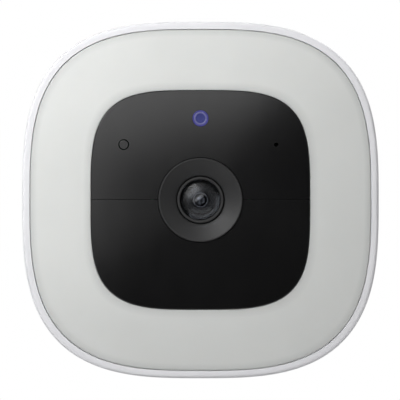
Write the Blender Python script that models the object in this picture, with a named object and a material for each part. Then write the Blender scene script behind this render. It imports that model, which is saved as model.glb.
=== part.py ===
"""Battery floodlight security camera on a ball mount, one object for each separate piece.

The origin is the middle of the wall plate's back face. The wall lies towards +Y, the camera looks
along -Y and +Z is up. Sizes are in millimetres here, and MM turns them into Blender's metres.
Inside the head, a depth is the distance behind the middle of the black face.
"""

import math

import bmesh
import bpy
from mathutils import Matrix, Vector

for leftover in list(bpy.data.objects):
    bpy.data.objects.remove(leftover, do_unlink=True)

MM = 0.001
GAP = 0.3  # clearance between neighbouring pieces

# Ball mount, measured along Y from the wall
PLATE_RADIUS = 32.0
PLATE_THICK = 5.6
PLATE_FLOOR = 2.0  # plate left behind the recess that the swivel turns in
SWIVEL_RADIUS = 13.4
SWIVEL_THICK = 2.3
NECK_RADIUS = 7.5
RETAINER_RADIUS = 19.0
RETAINER_BORE = 9.0
RETAINER_THICK = 2.3
RETAINER_SCREW_CIRCLE = 16.2
WALL_SCREW_CIRCLE = 25.0
RETAINER_SCREW_TURNS = (30, 150, 270)  # degrees round the mount's axis
WALL_SCREW_TURNS = (90, 210, 330)
WALL_SCREW_HOLE = 2.2
WALL_SCREW_SINK = 4.2
RETAINER_SCREW_HOLE = 1.3
RETAINER_SCREW_SHANK = 1.0
RETAINER_SCREW_HEAD = 1.7
WASHER_THICK = 0.5
BALL_Y = -30.0
BALL_RADIUS = 7.0
CUP_RADIUS = 9.6
LOCK_RING_RADIUS = 12.6
LOCK_LIP_ANGLE = 58.0  # degrees from the mount's axis to the edge of the ring's mouth
STUD_NECK = 2.6
STUD_RADIUS = 3.1
NUT_RADIUS = 8.0
NUT_START = 13.2  # from the ball's centre
NUT_THICK = 5.0

# Head
HEAD_BACK_Y = -49.0
HEAD_DEPTH = 58.0
FACE_Y = HEAD_BACK_Y - HEAD_DEPTH
HEAD_HALF = 51.0  # half the width and height of the rounded-square head
HEAD_POWER = 3.04  # exponent of the rounded square
SIDE_DEPTH = 14.0  # where the straight side turns into the bowl
BACK_HALF = 24.5
BACK_POWER = 2.6
WALL = 2.4
BACK_WALL = 2.5
SEAM_HALF = 48.7  # middle of the seam between diffuser and rim
SEAM_POWER = 3.07
LEDGE_DEPTH = 5.5
LEDGE_HALF = 46.9
PANEL_HALF = 31.3
PANEL_POWER = 3.70
PANEL_CROWN = 0.9  # how far the face falls back from its middle to its edge
PANEL_BACK = 3.0  # depth of the face's flat back
DIFFUSER_THICK = 2.0
DIFFUSER_CROWN = 1.6  # how far the diffuser falls back across its width
DIFFUSER_SWEEP = 1.3  # 1 makes a straight cone of it, and 2 a parabola

# Things in the face, placed by (x, z) from the lens axis
BEZEL_RADIUS = 12.0
BEZEL_THROAT = 6.9
TRIM_RADIUS = 6.6
LENS_RADIUS = 5.6
STATUS_AT = (0.0, 23.3)
STATUS_RADIUS = 1.9
LIGHT_SENSOR_AT = (-21.9, 15.8)
LIGHT_SENSOR_RADIUS = 1.25
MICROPHONE_AT = (21.6, 15.8)
MICROPHONE_HOLE = 0.6
PIR_AT = (0.0, -20.5)

# Camera module, from its front to its back
LENS_POLE = 0.9
LENS_EDGE = 2.9
LENS_BACK = 4.4
BARREL_FRONT = 4.9
BARREL_BACK = 13.0
BARREL_RADIUS = 6.2
REAR_LENS_RADIUS = 4.1
HOLDER_FRONT = 9.2
HOLDER_BACK = 16.2
HOLDER_HALF = 11.0
FILTER_FRONT = 13.6
FILTER_BACK = 14.7
CAMERA_BOARD_FRONT = 16.5

# Things inside, placed by their depth
TRAY_FRONT = 5.8
TRAY_FLOOR = 11.2  # depth of the reflector tray's floor
TRAY_THICK = 1.6
LED_PITCH = 12.0
LED_ROW = 38.8  # from the lens axis to the middle of a row of lamps
CASE_SCREW_AT = 31.5  # both x and z
CASE_SCREW_HOLE = 1.5
CASE_SCREW_SHANK = 1.2
CASE_SCREW_HEAD = 2.5
PILLAR_RADIUS = 3.2
PILLAR_BACK = 44.0
SENSOR_BOARD_FRONT = 6.2
SENSOR_BACK = 5.9  # of the parts that stand on the sensor board
PIR_CAN_FRONT = 3.6
MAIN_BOARD_FRONT = 18.5
MAIN_BOARD_BACK = 20.0
BACK_BOARD_FRONT = 46.4
BACK_BOARD_BACK = 47.4
CELL_RADIUS = 9.1
CELL_LENGTH = 65.0
CELL_DEPTH = 33.7
CELL_PITCH = 18.4

# Things in the back and the underside, placed by (x, z) or (x, depth)
INSERT_RADIUS = 5.0
INSERT_BORE = 3.45
INSERT_LENGTH = 8.0
USB_AT = (-5.0, -17.0)
COVER_SIZE = (16.0, 9.0)
PORT_SIZE = (8.9, 3.2)
BUTTON_AT = (11.5, -17.0)
BUTTON_RADIUS = 2.8
SPEAKER_DEPTH = 24.0
GRILLE_PITCH = 3.2

BIG_SIDES = 40
ROUND_SIDES = 24
SMALL_SIDES = 12
TINY_SIDES = 8


# ---------------------------------------------------------------- materials


def plastic(name, colour, roughness, metallic=0.0, glow=0.0):
    """A Principled material. The colour is linear RGB."""
    made = bpy.data.materials.new(name)
    made.use_nodes = True
    shader = made.node_tree.nodes["Principled BSDF"]
    shader.inputs["Base Color"].default_value = (*colour, 1.0)
    shader.inputs["Roughness"].default_value = roughness
    shader.inputs["Metallic"].default_value = metallic
    if glow:
        shader.inputs["Emission Color"].default_value = (*colour, 1.0)
        shader.inputs["Emission Strength"].default_value = glow
    made.diffuse_color = (*colour, 1.0)
    return made


WHITE = plastic("white_shell", (0.78, 0.78, 0.80), 0.45)
FROSTED = plastic("frosted_diffuser", (0.60, 0.61, 0.60), 0.55)
GLOSS_BLACK = plastic("gloss_black", (0.010, 0.010, 0.011), 0.12)
SATIN_BLACK = plastic("satin_black", (0.018, 0.018, 0.019), 0.40)
MATTE_BLACK = plastic("matte_black", (0.025, 0.025, 0.027), 0.65)
LENS_GLASS = plastic("lens_glass", (0.020, 0.022, 0.030), 0.03)
BLUE_LIGHT = plastic("blue_light", (0.10, 0.12, 0.75), 0.30, glow=2.0)
RUBBER = plastic("grey_rubber", (0.20, 0.20, 0.21), 0.85)
STEEL = plastic("steel", (0.60, 0.60, 0.60), 0.30, metallic=1.0)
BRASS = plastic("brass", (0.75, 0.55, 0.22), 0.30, metallic=1.0)
ALUMINIUM = plastic("aluminium", (0.70, 0.70, 0.72), 0.35, metallic=1.0)
BOARD_GREEN = plastic("circuit_board", (0.02, 0.14, 0.05), 0.50)
CELL_WRAP = plastic("cell_wrap", (0.03, 0.16, 0.35), 0.40)
CHIP_BLACK = plastic("chip_black", (0.03, 0.03, 0.03), 0.55)


# ---------------------------------------------------------------- shape tools


def face_y(depth):
    return FACE_Y + depth


def face_depth(x, z):
    """Depth of the black face's crowned front at this place."""
    half = (abs(x) ** PANEL_POWER + abs(z) ** PANEL_POWER) ** (1.0 / PANEL_POWER)
    return PANEL_CROWN * (half / PANEL_HALF) ** 2


def rounded_square(half, power, angle):
    """The point at this angle on |x / half|^power + |z / half|^power = 1. Power 2 is a circle."""
    x = math.cos(angle)
    z = math.sin(angle)
    reach = half / (abs(x) ** power + abs(z) ** power) ** (1.0 / power)
    return reach * x, reach * z


def loft(sections, at=(0.0, 0.0), sides=BIG_SIDES, ring=False, knurl=0.0):
    """A closed skin through sections across the Y axis.

    Each section is (y, half) or (y, half, power), and half 0 is a point on the axis. A ring joins its
    last section to its first. A knurl sinks every other side of a full-width section by that much.
    """
    shape = bmesh.new()
    widest = max(section[1] for section in sections)
    rows = []
    for section in sections:
        y, half = section[:2]
        power = section[2] if len(section) > 2 else 2.0
        if half == 0:
            rows.append([shape.verts.new((at[0], y, at[1]))] * sides)
            continue
        row = []
        for side in range(sides):
            sunk = knurl if side % 2 and half == widest else 0.0
            x, z = rounded_square(half - sunk, power, math.tau * side / sides)
            row.append(shape.verts.new((at[0] + x, y, at[1] + z)))
        rows.append(row)
    pairs = list(zip(rows, rows[1:]))
    if ring:
        pairs.append((rows[-1], rows[0]))
    for near, far in pairs:
        for side in range(sides):
            after = (side + 1) % sides
            corners = (near[side], near[after], far[after], far[side])
            distinct = list(dict.fromkeys(corners))
            shape.faces.new(distinct)
    if not ring:
        for row in (rows[0], rows[-1]):
            if row[0] is not row[1]:
                shape.faces.new(row)
    bmesh.ops.recalc_face_normals(shape, faces=shape.faces)
    return shape


def tube_sections(inner, outer, front, back):
    """The four corners of a plain ring's section, for loft with ring=True."""
    return ((front, inner), (front, outer), (back, outer), (back, inner))


def slab(x_span, y_span, z_span, round_edges=0.0):
    """A block between two limits on each axis, with its edges rounded off if asked."""
    shape = bmesh.new()
    bmesh.ops.create_cube(shape, size=1.0)
    spans = (x_span, y_span, z_span)
    size = [high - low for low, high in spans]
    middle = [(high + low) / 2 for low, high in spans]
    bmesh.ops.scale(shape, vec=size, verts=shape.verts)
    bmesh.ops.translate(shape, vec=middle, verts=shape.verts)
    if round_edges:
        bmesh.ops.bevel(
            shape, geom=shape.edges, offset=round_edges, segments=2, profile=0.5, affect="EDGES"
        )
    return shape


def centred(middle, size):
    return middle - size / 2, middle + size / 2


def merge(*shapes):
    """One bmesh that holds all of these shapes."""
    whole = bmesh.new()
    for shape in shapes:
        held = bpy.data.meshes.new("merge")
        shape.to_mesh(held)
        shape.free()
        whole.from_mesh(held)
        bpy.data.meshes.remove(held)
    return whole


def pivot(name, at, parent=None):
    """An empty on a joint's axis. The place is in millimetres in the world."""
    empty = bpy.data.objects.new(name, None)
    empty.empty_display_size = 5 * MM
    bpy.context.collection.objects.link(empty)
    empty["place"] = at
    attach(empty, at, parent)
    return empty


def attach(obj, at, parent):
    origin = Vector(at)
    if parent:
        obj.parent = parent
        origin -= Vector(parent["place"])
    obj.location = origin * MM


def piece(name, shape, material, parent, at=None):
    """Turns a bmesh in world millimetres into an object whose origin is at `at`."""
    at = at or parent["place"]
    bmesh.ops.transform(
        shape, matrix=Matrix.Scale(MM, 4) @ Matrix.Translation(-Vector(at)), verts=shape.verts
    )
    mesh = bpy.data.meshes.new(name)
    shape.to_mesh(mesh)
    shape.free()
    mesh.materials.append(material)
    mesh.shade_smooth()
    mesh.set_sharp_from_angle(angle=math.radians(35))
    obj = bpy.data.objects.new(name, mesh)
    bpy.context.collection.objects.link(obj)
    attach(obj, at, parent)
    return obj


def change(target, shape, operation, name):
    """Cuts a shape in world millimetres out of a piece, or joins it on."""
    helper = piece(f"{target.name}_{name}", shape, target.data.materials[0], target.parent)
    helper.hide_render = True
    helper.display_type = "WIRE"
    boolean = target.modifiers.new(name, "BOOLEAN")
    boolean.operation = operation
    boolean.object = helper


def cut(target, name, *shapes):
    change(target, merge(*shapes), "DIFFERENCE", name)


def join(target, name, *shapes):
    change(target, merge(*shapes), "UNION", name)


def rod(x, z, radius, front, back, sides=SMALL_SIDES):
    """A plain cylinder along Y."""
    return loft(((front, radius), (back, radius)), at=(x, z), sides=sides)


def on_circle(radius, degrees):
    turn = math.radians(degrees)
    return radius * math.cos(turn), radius * math.sin(turn)


def ball_arc(radius, first, last, steps):
    """Sections on a sphere round the ball's centre, by the angle from the -Y direction in degrees."""
    found = []
    for step in range(steps + 1):
        angle = math.radians(first + (last - first) * step / steps)
        found.append((BALL_Y - radius * math.cos(angle), radius * math.sin(angle)))
    return found


def at_depth(sections):
    """The same sections with depths turned into Y."""
    return [(face_y(section[0]), *section[1:]) for section in sections]


# ---------------------------------------------------------------- wall base and ball mount


def build_wall_base(wall):
    floor = -PLATE_FLOOR
    front = -PLATE_THICK
    recess = SWIVEL_RADIUS + GAP + 0.1
    plate_outline = (
        (0.0, 0.0),
        (0.0, PLATE_RADIUS),
        (front + 2.2, PLATE_RADIUS),
        (front + 0.7, PLATE_RADIUS - 0.6),
        (front, PLATE_RADIUS - 2.2),
        (front, recess),
        (floor, recess),
        (floor, 0.0),
    )
    plate = piece("wall_plate", loft(plate_outline), WHITE, wall)
    holes = []
    for degrees in WALL_SCREW_TURNS:
        countersink = (
            (front - 1, WALL_SCREW_SINK),
            (front, WALL_SCREW_SINK),
            (front + 2.2, WALL_SCREW_HOLE),
            (1.0, WALL_SCREW_HOLE),
        )
        holes.append(loft(countersink, at=on_circle(WALL_SCREW_CIRCLE, degrees), sides=SMALL_SIDES))
    for degrees in RETAINER_SCREW_TURNS:
        x, z = on_circle(RETAINER_SCREW_CIRCLE, degrees)
        holes.append(rod(x, z, RETAINER_SCREW_HOLE, front - 1, -1.2, TINY_SIDES))
    cut(plate, "screw_holes", *holes)

    back = floor - GAP
    washer = tube_sections(5.0, SWIVEL_RADIUS - 1, back - WASHER_THICK, back)
    piece("friction_washer", loft(washer, ring=True, sides=ROUND_SIDES), RUBBER, wall)

    back = front - GAP
    front = back - RETAINER_THICK
    ring_outline = (
        (back, RETAINER_BORE),
        (front, RETAINER_BORE),
        (front, RETAINER_RADIUS - 0.8),
        (front + 0.8, RETAINER_RADIUS),
        (back, RETAINER_RADIUS),
    )
    retainer = piece("retainer_ring", loft(ring_outline, ring=True), WHITE, wall)
    seats = []
    for number, degrees in enumerate(RETAINER_SCREW_TURNS, start=1):
        spot = on_circle(RETAINER_SCREW_CIRCLE, degrees)
        seat = (
            (front - 1, RETAINER_SCREW_HEAD + 0.4),
            (front + 1.2, RETAINER_SCREW_HEAD + 0.4),
            (front + 1.2, RETAINER_SCREW_HOLE),
            (back + 1, RETAINER_SCREW_HOLE),
        )
        seats.append(loft(seat, at=spot, sides=SMALL_SIDES))
        screw = (
            (front + 0.4, 0.0),
            (front + 0.4, 0.7),
            (front - 0.1, 0.7),
            (front - 0.1, RETAINER_SCREW_HEAD - 0.3),
            (front + 0.2, RETAINER_SCREW_HEAD),
            (front + 0.9, RETAINER_SCREW_HEAD),
            (front + 0.9, RETAINER_SCREW_SHANK),
            (-1.6, RETAINER_SCREW_SHANK),
            (-1.6, 0.0),
        )
        piece(f"retainer_screw_{number}", loft(screw, at=spot, sides=SMALL_SIDES), STEEL, wall)
    cut(retainer, "screw_seats", *seats)


def build_swivel(swivel):
    back = -PLATE_FLOOR - GAP - WASHER_THICK - GAP
    socket = BALL_RADIUS + GAP
    outline = [
        (back, 0.0),
        (back, SWIVEL_RADIUS),
        (back - SWIVEL_THICK, SWIVEL_RADIUS),
        (back - SWIVEL_THICK, NECK_RADIUS + 1.0),
        (back - SWIVEL_THICK - 1.0, NECK_RADIUS),
        (BALL_Y + 13.0, NECK_RADIUS),
        (BALL_Y + 10.0, CUP_RADIUS),
        (BALL_Y + 0.3, CUP_RADIUS),
        *ball_arc(socket, 92, 180, 6),
    ]
    piece("swivel_post", loft(outline, sides=ROUND_SIDES), WHITE, swivel)


def build_lock_ring(swivel):
    bore = CUP_RADIUS + GAP
    outline = [
        (BALL_Y + 8.5, bore),
        (BALL_Y - 0.5, bore),
        *ball_arc(BALL_RADIUS + GAP, 84, LOCK_LIP_ANGLE, 2),
        *ball_arc(LOCK_RING_RADIUS - 0.2, LOCK_LIP_ANGLE, 80, 2),
        (BALL_Y - 1.0, LOCK_RING_RADIUS),
        (BALL_Y + 7.7, LOCK_RING_RADIUS),
        (BALL_Y + 8.5, LOCK_RING_RADIUS - 0.8),
    ]
    shape = loft(outline, ring=True, sides=2 * SMALL_SIDES + 8, knurl=0.35)
    piece("lock_ring", shape, SATIN_BLACK, swivel, (0.0, BALL_Y, 0.0))


def build_ball_stud(ball):
    neck_angle = math.degrees(math.asin(STUD_NECK / BALL_RADIUS))
    outline = [
        *ball_arc(BALL_RADIUS, 180, neck_angle, 9),
        (BALL_Y - 9.5, STUD_NECK),
        (BALL_Y - 10.0, STUD_RADIUS),
        (HEAD_BACK_Y - 5.5, STUD_RADIUS),
        (HEAD_BACK_Y - 6.2, STUD_RADIUS - 0.7),
        (HEAD_BACK_Y - 6.2, 0.0),
    ]
    piece("ball_stud", loft(outline, sides=ROUND_SIDES), STEEL, ball)

    back = BALL_Y - NUT_START
    front = back - NUT_THICK
    bore = STUD_RADIUS + GAP
    nut = (
        (back, bore),
        (back, NUT_RADIUS - 1.4),
        (back - 0.8, NUT_RADIUS),
        (front + 0.8, NUT_RADIUS),
        (front, NUT_RADIUS - 1.4),
        (front, bore),
    )
    shape = loft(nut, ring=True, sides=ROUND_SIDES, knurl=0.35)
    piece("jam_nut", shape, SATIN_BLACK, ball, (0.0, (back + front) / 2, 0.0))


# ---------------------------------------------------------------- head: shell


def bowl(steps, back_depth, side_half):
    """Sections of the bowl from its straight side to its flat back, on a quarter ellipse."""
    found = []
    for step in range(steps + 1):
        turn = math.radians(90.0 * step / steps)
        depth = SIDE_DEPTH + (back_depth - SIDE_DEPTH) * math.sin(turn)
        half = BACK_HALF + (side_half - BACK_HALF) * math.cos(turn)
        power = HEAD_POWER + (BACK_POWER - HEAD_POWER) * math.sin(turn)
        found.append((depth, half, power))
    return found


def build_housing(head):
    rim = SEAM_HALF + GAP / 2
    socket_depth = HEAD_DEPTH - INSERT_LENGTH - GAP
    boss = INSERT_RADIUS + GAP + 3.0
    outside = [
        (socket_depth, INSERT_RADIUS + GAP),
        (HEAD_DEPTH, INSERT_RADIUS + GAP),
        (HEAD_DEPTH, 11.0),
        *reversed(bowl(6, HEAD_DEPTH, HEAD_HALF)),
        (7.0, HEAD_HALF, HEAD_POWER),
        (4.4, HEAD_HALF - 0.03, HEAD_POWER),
        (3.3, HEAD_HALF - 0.17, HEAD_POWER),
        (2.7, HEAD_HALF - 0.5, SEAM_POWER),
        (2.4, HEAD_HALF - 1.0, SEAM_POWER),
        (2.4, rim, SEAM_POWER),
    ]
    inside = [
        (LEDGE_DEPTH, rim, SEAM_POWER),
        (LEDGE_DEPTH, LEDGE_HALF, SEAM_POWER),
        (LEDGE_DEPTH + 2.0, LEDGE_HALF, SEAM_POWER),
        (LEDGE_DEPTH + 3.5, HEAD_HALF - WALL, HEAD_POWER),
        *bowl(5, HEAD_DEPTH - BACK_WALL, HEAD_HALF - WALL),
        (HEAD_DEPTH - BACK_WALL, boss),
        (socket_depth - 2.0, boss),
    ]
    shell = piece("rear_housing", loft(at_depth(outside + inside)), WHITE, head)

    pillars = []
    for x, z in four_corners(CASE_SCREW_AT):
        pillars.append(rod(x, z, PILLAR_RADIUS, face_y(TRAY_FLOOR + 4.2), face_y(PILLAR_BACK)))
    board_back = face_y(BACK_BOARD_BACK + GAP)
    for x in (USB_AT[0] - 10.5, BUTTON_AT[0] + 6.0):
        pillars.append(rod(x, USB_AT[1], 1.8, board_back, face_y(HEAD_DEPTH - 1), TINY_SIDES))
    join(shell, "pillars", *pillars)

    back = face_y(HEAD_DEPTH)
    cover_x = centred(USB_AT[0], COVER_SIZE[0] + 2 * GAP)
    cover_z = centred(USB_AT[1], COVER_SIZE[1] + 2 * GAP)
    port_x = centred(USB_AT[0], PORT_SIZE[0] + 2.2)
    port_z = centred(USB_AT[1], PORT_SIZE[1] + 2.2)
    openings = [
        slab(cover_x, (back - 1.6, back + 1), cover_z),
        rod(*BUTTON_AT, BUTTON_RADIUS + GAP, back - 4, back + 1, ROUND_SIDES),
    ]
    for x, z in four_corners(CASE_SCREW_AT):
        span = (face_y(TRAY_FLOOR + 3), face_y(26.0))
        openings.append(rod(x, z, CASE_SCREW_HOLE, *span, TINY_SIDES))
    cut(shell, "openings", *openings)
    cut(shell, "port_slot", slab(port_x, (back - 4, back + 1), port_z))
    cut(shell, "speaker_grille", *speaker_holes())

    insert = tube_sections(INSERT_BORE, INSERT_RADIUS, face_y(HEAD_DEPTH - INSERT_LENGTH), back)
    shape = loft(insert, ring=True, sides=ROUND_SIDES, knurl=0.25)
    piece("mount_insert", shape, BRASS, head)


def four_corners(half):
    return [(x, z) for x in (-half, half) for z in (-half, half)]


def speaker_holes():
    """Short cylinders along Z through the underside, on a grid of three rows of five."""
    holes = []
    for row in (-1, 0, 1):
        for column in range(-2, 3):
            hole = bmesh.new()
            bmesh.ops.create_cone(
                hole, cap_ends=True, segments=6, radius1=0.8, radius2=0.8, depth=8.0
            )
            spot = (
                column * GRILLE_PITCH,
                face_y(SPEAKER_DEPTH + row * GRILLE_PITCH),
                -HEAD_HALF + WALL,
            )
            bmesh.ops.translate(hole, vec=spot, verts=hole.verts)
            holes.append(hole)
    return holes


def build_diffuser(head):
    outer = SEAM_HALF - GAP / 2
    inner = PANEL_HALF + GAP
    front = []
    under = []
    steps = 3
    for step in range(steps + 1):
        across = step / steps
        half = inner + (outer - inner) * across
        power = PANEL_POWER + (SEAM_POWER - PANEL_POWER) * across
        crown = PANEL_CROWN + 0.1 + DIFFUSER_CROWN * across**DIFFUSER_SWEEP
        front.append((crown, half, power))
        if 0 < step < steps:
            under.append((crown + DIFFUSER_THICK, half, power))
    lip = (
        (4.3, outer, SEAM_POWER),
        (4.3, outer - 1.4, SEAM_POWER),
        (3.9, outer - 1.6, SEAM_POWER),
    )
    edge = ((front[0][0] + DIFFUSER_THICK, inner, PANEL_POWER),)
    sections = [*front, *lip, *reversed(under), *edge]
    piece("light_diffuser", loft(at_depth(sections), ring=True), FROSTED, head)

    gasket = (
        (4.6, LEDGE_HALF + 0.4, SEAM_POWER),
        (4.6, outer, SEAM_POWER),
        (5.2, outer, SEAM_POWER),
        (5.2, LEDGE_HALF + 0.4, SEAM_POWER),
    )
    piece("front_gasket", loft(at_depth(gasket), ring=True), RUBBER, head)


# ---------------------------------------------------------------- head: black face


def panel(name, head, side):
    """One half of the black face: side is 1 for the upper half and -1 for the lower."""
    edge = PANEL_HALF - 0.3
    outline = [(0.0, 0.0)]
    for ring in (BEZEL_RADIUS, 22.0, edge):
        outline.append((face_depth(ring, 0.0), ring, PANEL_POWER))
    outline += [
        (PANEL_CROWN + 0.3, PANEL_HALF, PANEL_POWER),
        (PANEL_BACK, PANEL_HALF, PANEL_POWER),
        (PANEL_BACK, 0.0),
    ]
    half = piece(name, loft(at_depth(outline)), GLOSS_BLACK, head)
    reach = PANEL_HALF + 5
    z_span = sorted((side * GAP / 2, -side * reach))
    rest = slab((-reach, reach), (face_y(-5), face_y(6)), z_span)
    cut(half, "other_half", rest)
    hole = rod(0, 0, BEZEL_RADIUS + GAP + 0.1, face_y(-4), face_y(5), ROUND_SIDES)
    cut(half, "bezel_hole", hole)
    return half


def build_face(head):
    upper = panel("faceplate_upper", head, 1)
    holes = [
        rod(*STATUS_AT, STATUS_RADIUS + GAP, face_y(-1), face_y(4), ROUND_SIDES),
        rod(*LIGHT_SENSOR_AT, LIGHT_SENSOR_RADIUS + GAP, face_y(-1), face_y(4), SMALL_SIDES),
        rod(*MICROPHONE_AT, MICROPHONE_HOLE, face_y(-1), face_y(4), SMALL_SIDES),
    ]
    cut(upper, "sensor_holes", *holes)
    panel("pir_window", head, -1)

    top = face_depth(*STATUS_AT)
    light = ((top, 0.0), (top, STATUS_RADIUS), (3.4, STATUS_RADIUS), (3.4, 0.0))
    shape = loft(at_depth(light), at=STATUS_AT, sides=ROUND_SIDES)
    piece("status_light_pipe", shape, BLUE_LIGHT, head)
    top = face_depth(*LIGHT_SENSOR_AT) + 0.05
    radius = LIGHT_SENSOR_RADIUS
    window = ((top, 0.0), (top, radius), (PANEL_BACK, radius), (PANEL_BACK, 0.0))
    shape = loft(at_depth(window), at=LIGHT_SENSOR_AT, sides=SMALL_SIDES)
    piece("light_sensor_window", shape, SATIN_BLACK, head)

    flange_front = PANEL_BACK + GAP
    bezel = (
        (3.0, BEZEL_THROAT),
        (-0.3, BEZEL_RADIUS - 0.6),
        (-0.4, BEZEL_RADIUS - 0.3),
        (-0.1, BEZEL_RADIUS),
        (flange_front, BEZEL_RADIUS),
        (flange_front, BEZEL_RADIUS + 1.4),
        (flange_front + 1.2, BEZEL_RADIUS + 1.4),
        (flange_front + 1.2, BEZEL_RADIUS - 1.0),
        (flange_front + 1.5, BEZEL_THROAT + 0.9),
        (flange_front + 1.5, BEZEL_THROAT),
    )
    shape = loft(at_depth(bezel), ring=True, sides=ROUND_SIDES)
    piece("lens_bezel", shape, SATIN_BLACK, head)


# ---------------------------------------------------------------- head: camera module


def lens_cap(radius, front, edge, steps=4):
    """Sections of a domed lens front, from its pole to its edge."""
    rise = edge - front
    sphere = (radius**2 + rise**2) / (2 * rise)
    widest = math.asin(radius / sphere)
    found = []
    for step in range(steps + 1):
        angle = widest * step / steps
        found.append((front + sphere * (1 - math.cos(angle)), sphere * math.sin(angle)))
    return found


def build_camera(head):
    trim = (
        (LENS_EDGE, LENS_RADIUS + GAP),
        (LENS_EDGE - 0.3, TRIM_RADIUS - 0.2),
        (LENS_EDGE - 0.1, TRIM_RADIUS),
        (4.6, TRIM_RADIUS),
        (4.6, LENS_RADIUS + GAP),
    )
    piece("lens_trim_ring", loft(at_depth(trim), ring=True, sides=ROUND_SIDES), SATIN_BLACK, head)
    cap = lens_cap(LENS_RADIUS, LENS_POLE, LENS_EDGE)
    front = [*cap, (LENS_BACK, LENS_RADIUS), (LENS_BACK, 0.0)]
    piece("front_lens", loft(at_depth(front), sides=ROUND_SIDES), LENS_GLASS, head)

    barrel = (
        (BARREL_FRONT, REAR_LENS_RADIUS + GAP),
        (BARREL_FRONT, BARREL_RADIUS),
        (BARREL_BACK, BARREL_RADIUS),
        (BARREL_BACK, 3.2),
        (BARREL_BACK - 1.8, 3.2),
        (BARREL_BACK - 2.2, REAR_LENS_RADIUS + GAP),
    )
    piece("lens_barrel", loft(at_depth(barrel), ring=True, sides=ROUND_SIDES), MATTE_BLACK, head)
    cap = lens_cap(REAR_LENS_RADIUS, 6.2, 7.0, steps=3)
    rear = [*cap, (10.4, REAR_LENS_RADIUS), (10.4, 0.0)]
    piece("rear_lens", loft(at_depth(rear), sides=ROUND_SIDES), LENS_GLASS, head)

    wide = (-HOLDER_HALF, HOLDER_HALF)
    depths = (HOLDER_FRONT, HOLDER_BACK)
    holder = block("lens_holder", MATTE_BLACK, head, wide, depths, (-7.5, 7.5), 0.4)
    bore = rod(0, 0, BARREL_RADIUS + GAP, face_y(8), face_y(BARREL_BACK + GAP), ROUND_SIDES)
    cut(holder, "barrel_bore", bore)
    slot_depths = (face_y(FILTER_FRONT - 0.4), face_y(FILTER_BACK + GAP))
    cut(holder, "filter_slot", slab((-9.6, 12.0), slot_depths, (-4.4, 4.4)))
    cut(holder, "light_tunnel", slab((-3.6, 3.6), (face_y(14.5), face_y(17)), (-3.0, 3.0)))
    build_ir_filter(head)
    sensor_depths = (HOLDER_BACK - 0.9, HOLDER_BACK)
    block("image_sensor", CHIP_BLACK, head, (-3.4, 3.4), sensor_depths, (-2.8, 2.8))
    board_depths = (CAMERA_BOARD_FRONT, CAMERA_BOARD_FRONT + 1.0)
    block("camera_board", BOARD_GREEN, head, wide, board_depths, (-9.0, 9.0))


def build_ir_filter(head):
    depth = (face_y(FILTER_FRONT), face_y(FILTER_BACK))
    at = (-1.8, sum(depth) / 2, 0.0)
    frame = piece("ir_cut_filter", slab((-6.2, 4.4), depth, (-4.1, 4.1)), MATTE_BLACK, head, at)
    cut(frame, "day_window", slab((-1.4, 3.4), (depth[0] - 1, depth[0] + 0.6), (-3.0, 3.0)))


# ---------------------------------------------------------------- head: floodlight and chassis


def build_floodlight(head):
    floor_back = TRAY_FLOOR + TRAY_THICK
    tray_sections = (
        (TRAY_FRONT, 46.4, SEAM_POWER),
        (TRAY_FRONT, 45.4, SEAM_POWER),
        (TRAY_FLOOR, 43.8, SEAM_POWER),
        (TRAY_FLOOR, 34.0, PANEL_POWER),
        (3.6, 33.4, PANEL_POWER),
        (3.6, 32.4, PANEL_POWER),
        (floor_back, 32.4, PANEL_POWER),
        (floor_back, 46.4, SEAM_POWER),
    )
    tray = piece("reflector_tray", loft(at_depth(tray_sections), ring=True), WHITE, head)
    cut(tray, "screw_holes", *at_case_screws(CASE_SCREW_HOLE, 8.0, 14.0, TINY_SIDES))

    front = TRAY_FLOOR - GAP - 1.4
    back = TRAY_FLOOR - GAP
    board_sections = (
        (front, 34.7, PANEL_POWER),
        (front, 42.9, SEAM_POWER),
        (back, 42.9, SEAM_POWER),
        (back, 34.7, PANEL_POWER),
    )
    board = piece("led_board", loft(at_depth(board_sections), ring=True), ALUMINIUM, head)
    notches = at_case_screws(CASE_SCREW_HEAD + 0.6, 8.0, 13.0, SMALL_SIDES)
    cut(board, "screw_notches", *notches)
    chips = []
    chip_span = (face_y(front - 0.7), face_y(front + 0.3))
    for x, z in led_places():
        chips.append(slab(centred(x, 3.0), chip_span, centred(z, 3.0)))
    join(board, "leds", *chips)


def at_case_screws(radius, front, back, sides):
    """A cylinder on each of the four case screws, between two depths."""
    spots = four_corners(CASE_SCREW_AT)
    return [rod(x, z, radius, face_y(front), face_y(back), sides) for x, z in spots]


def led_places():
    """Four lamps in a row along each of the four sides of the board."""
    spots = []
    for along in (-1.5 * LED_PITCH, -0.5 * LED_PITCH, 0.5 * LED_PITCH, 1.5 * LED_PITCH):
        for side in (-LED_ROW, LED_ROW):
            spots += [(along, side), (side, along)]
    return spots


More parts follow.
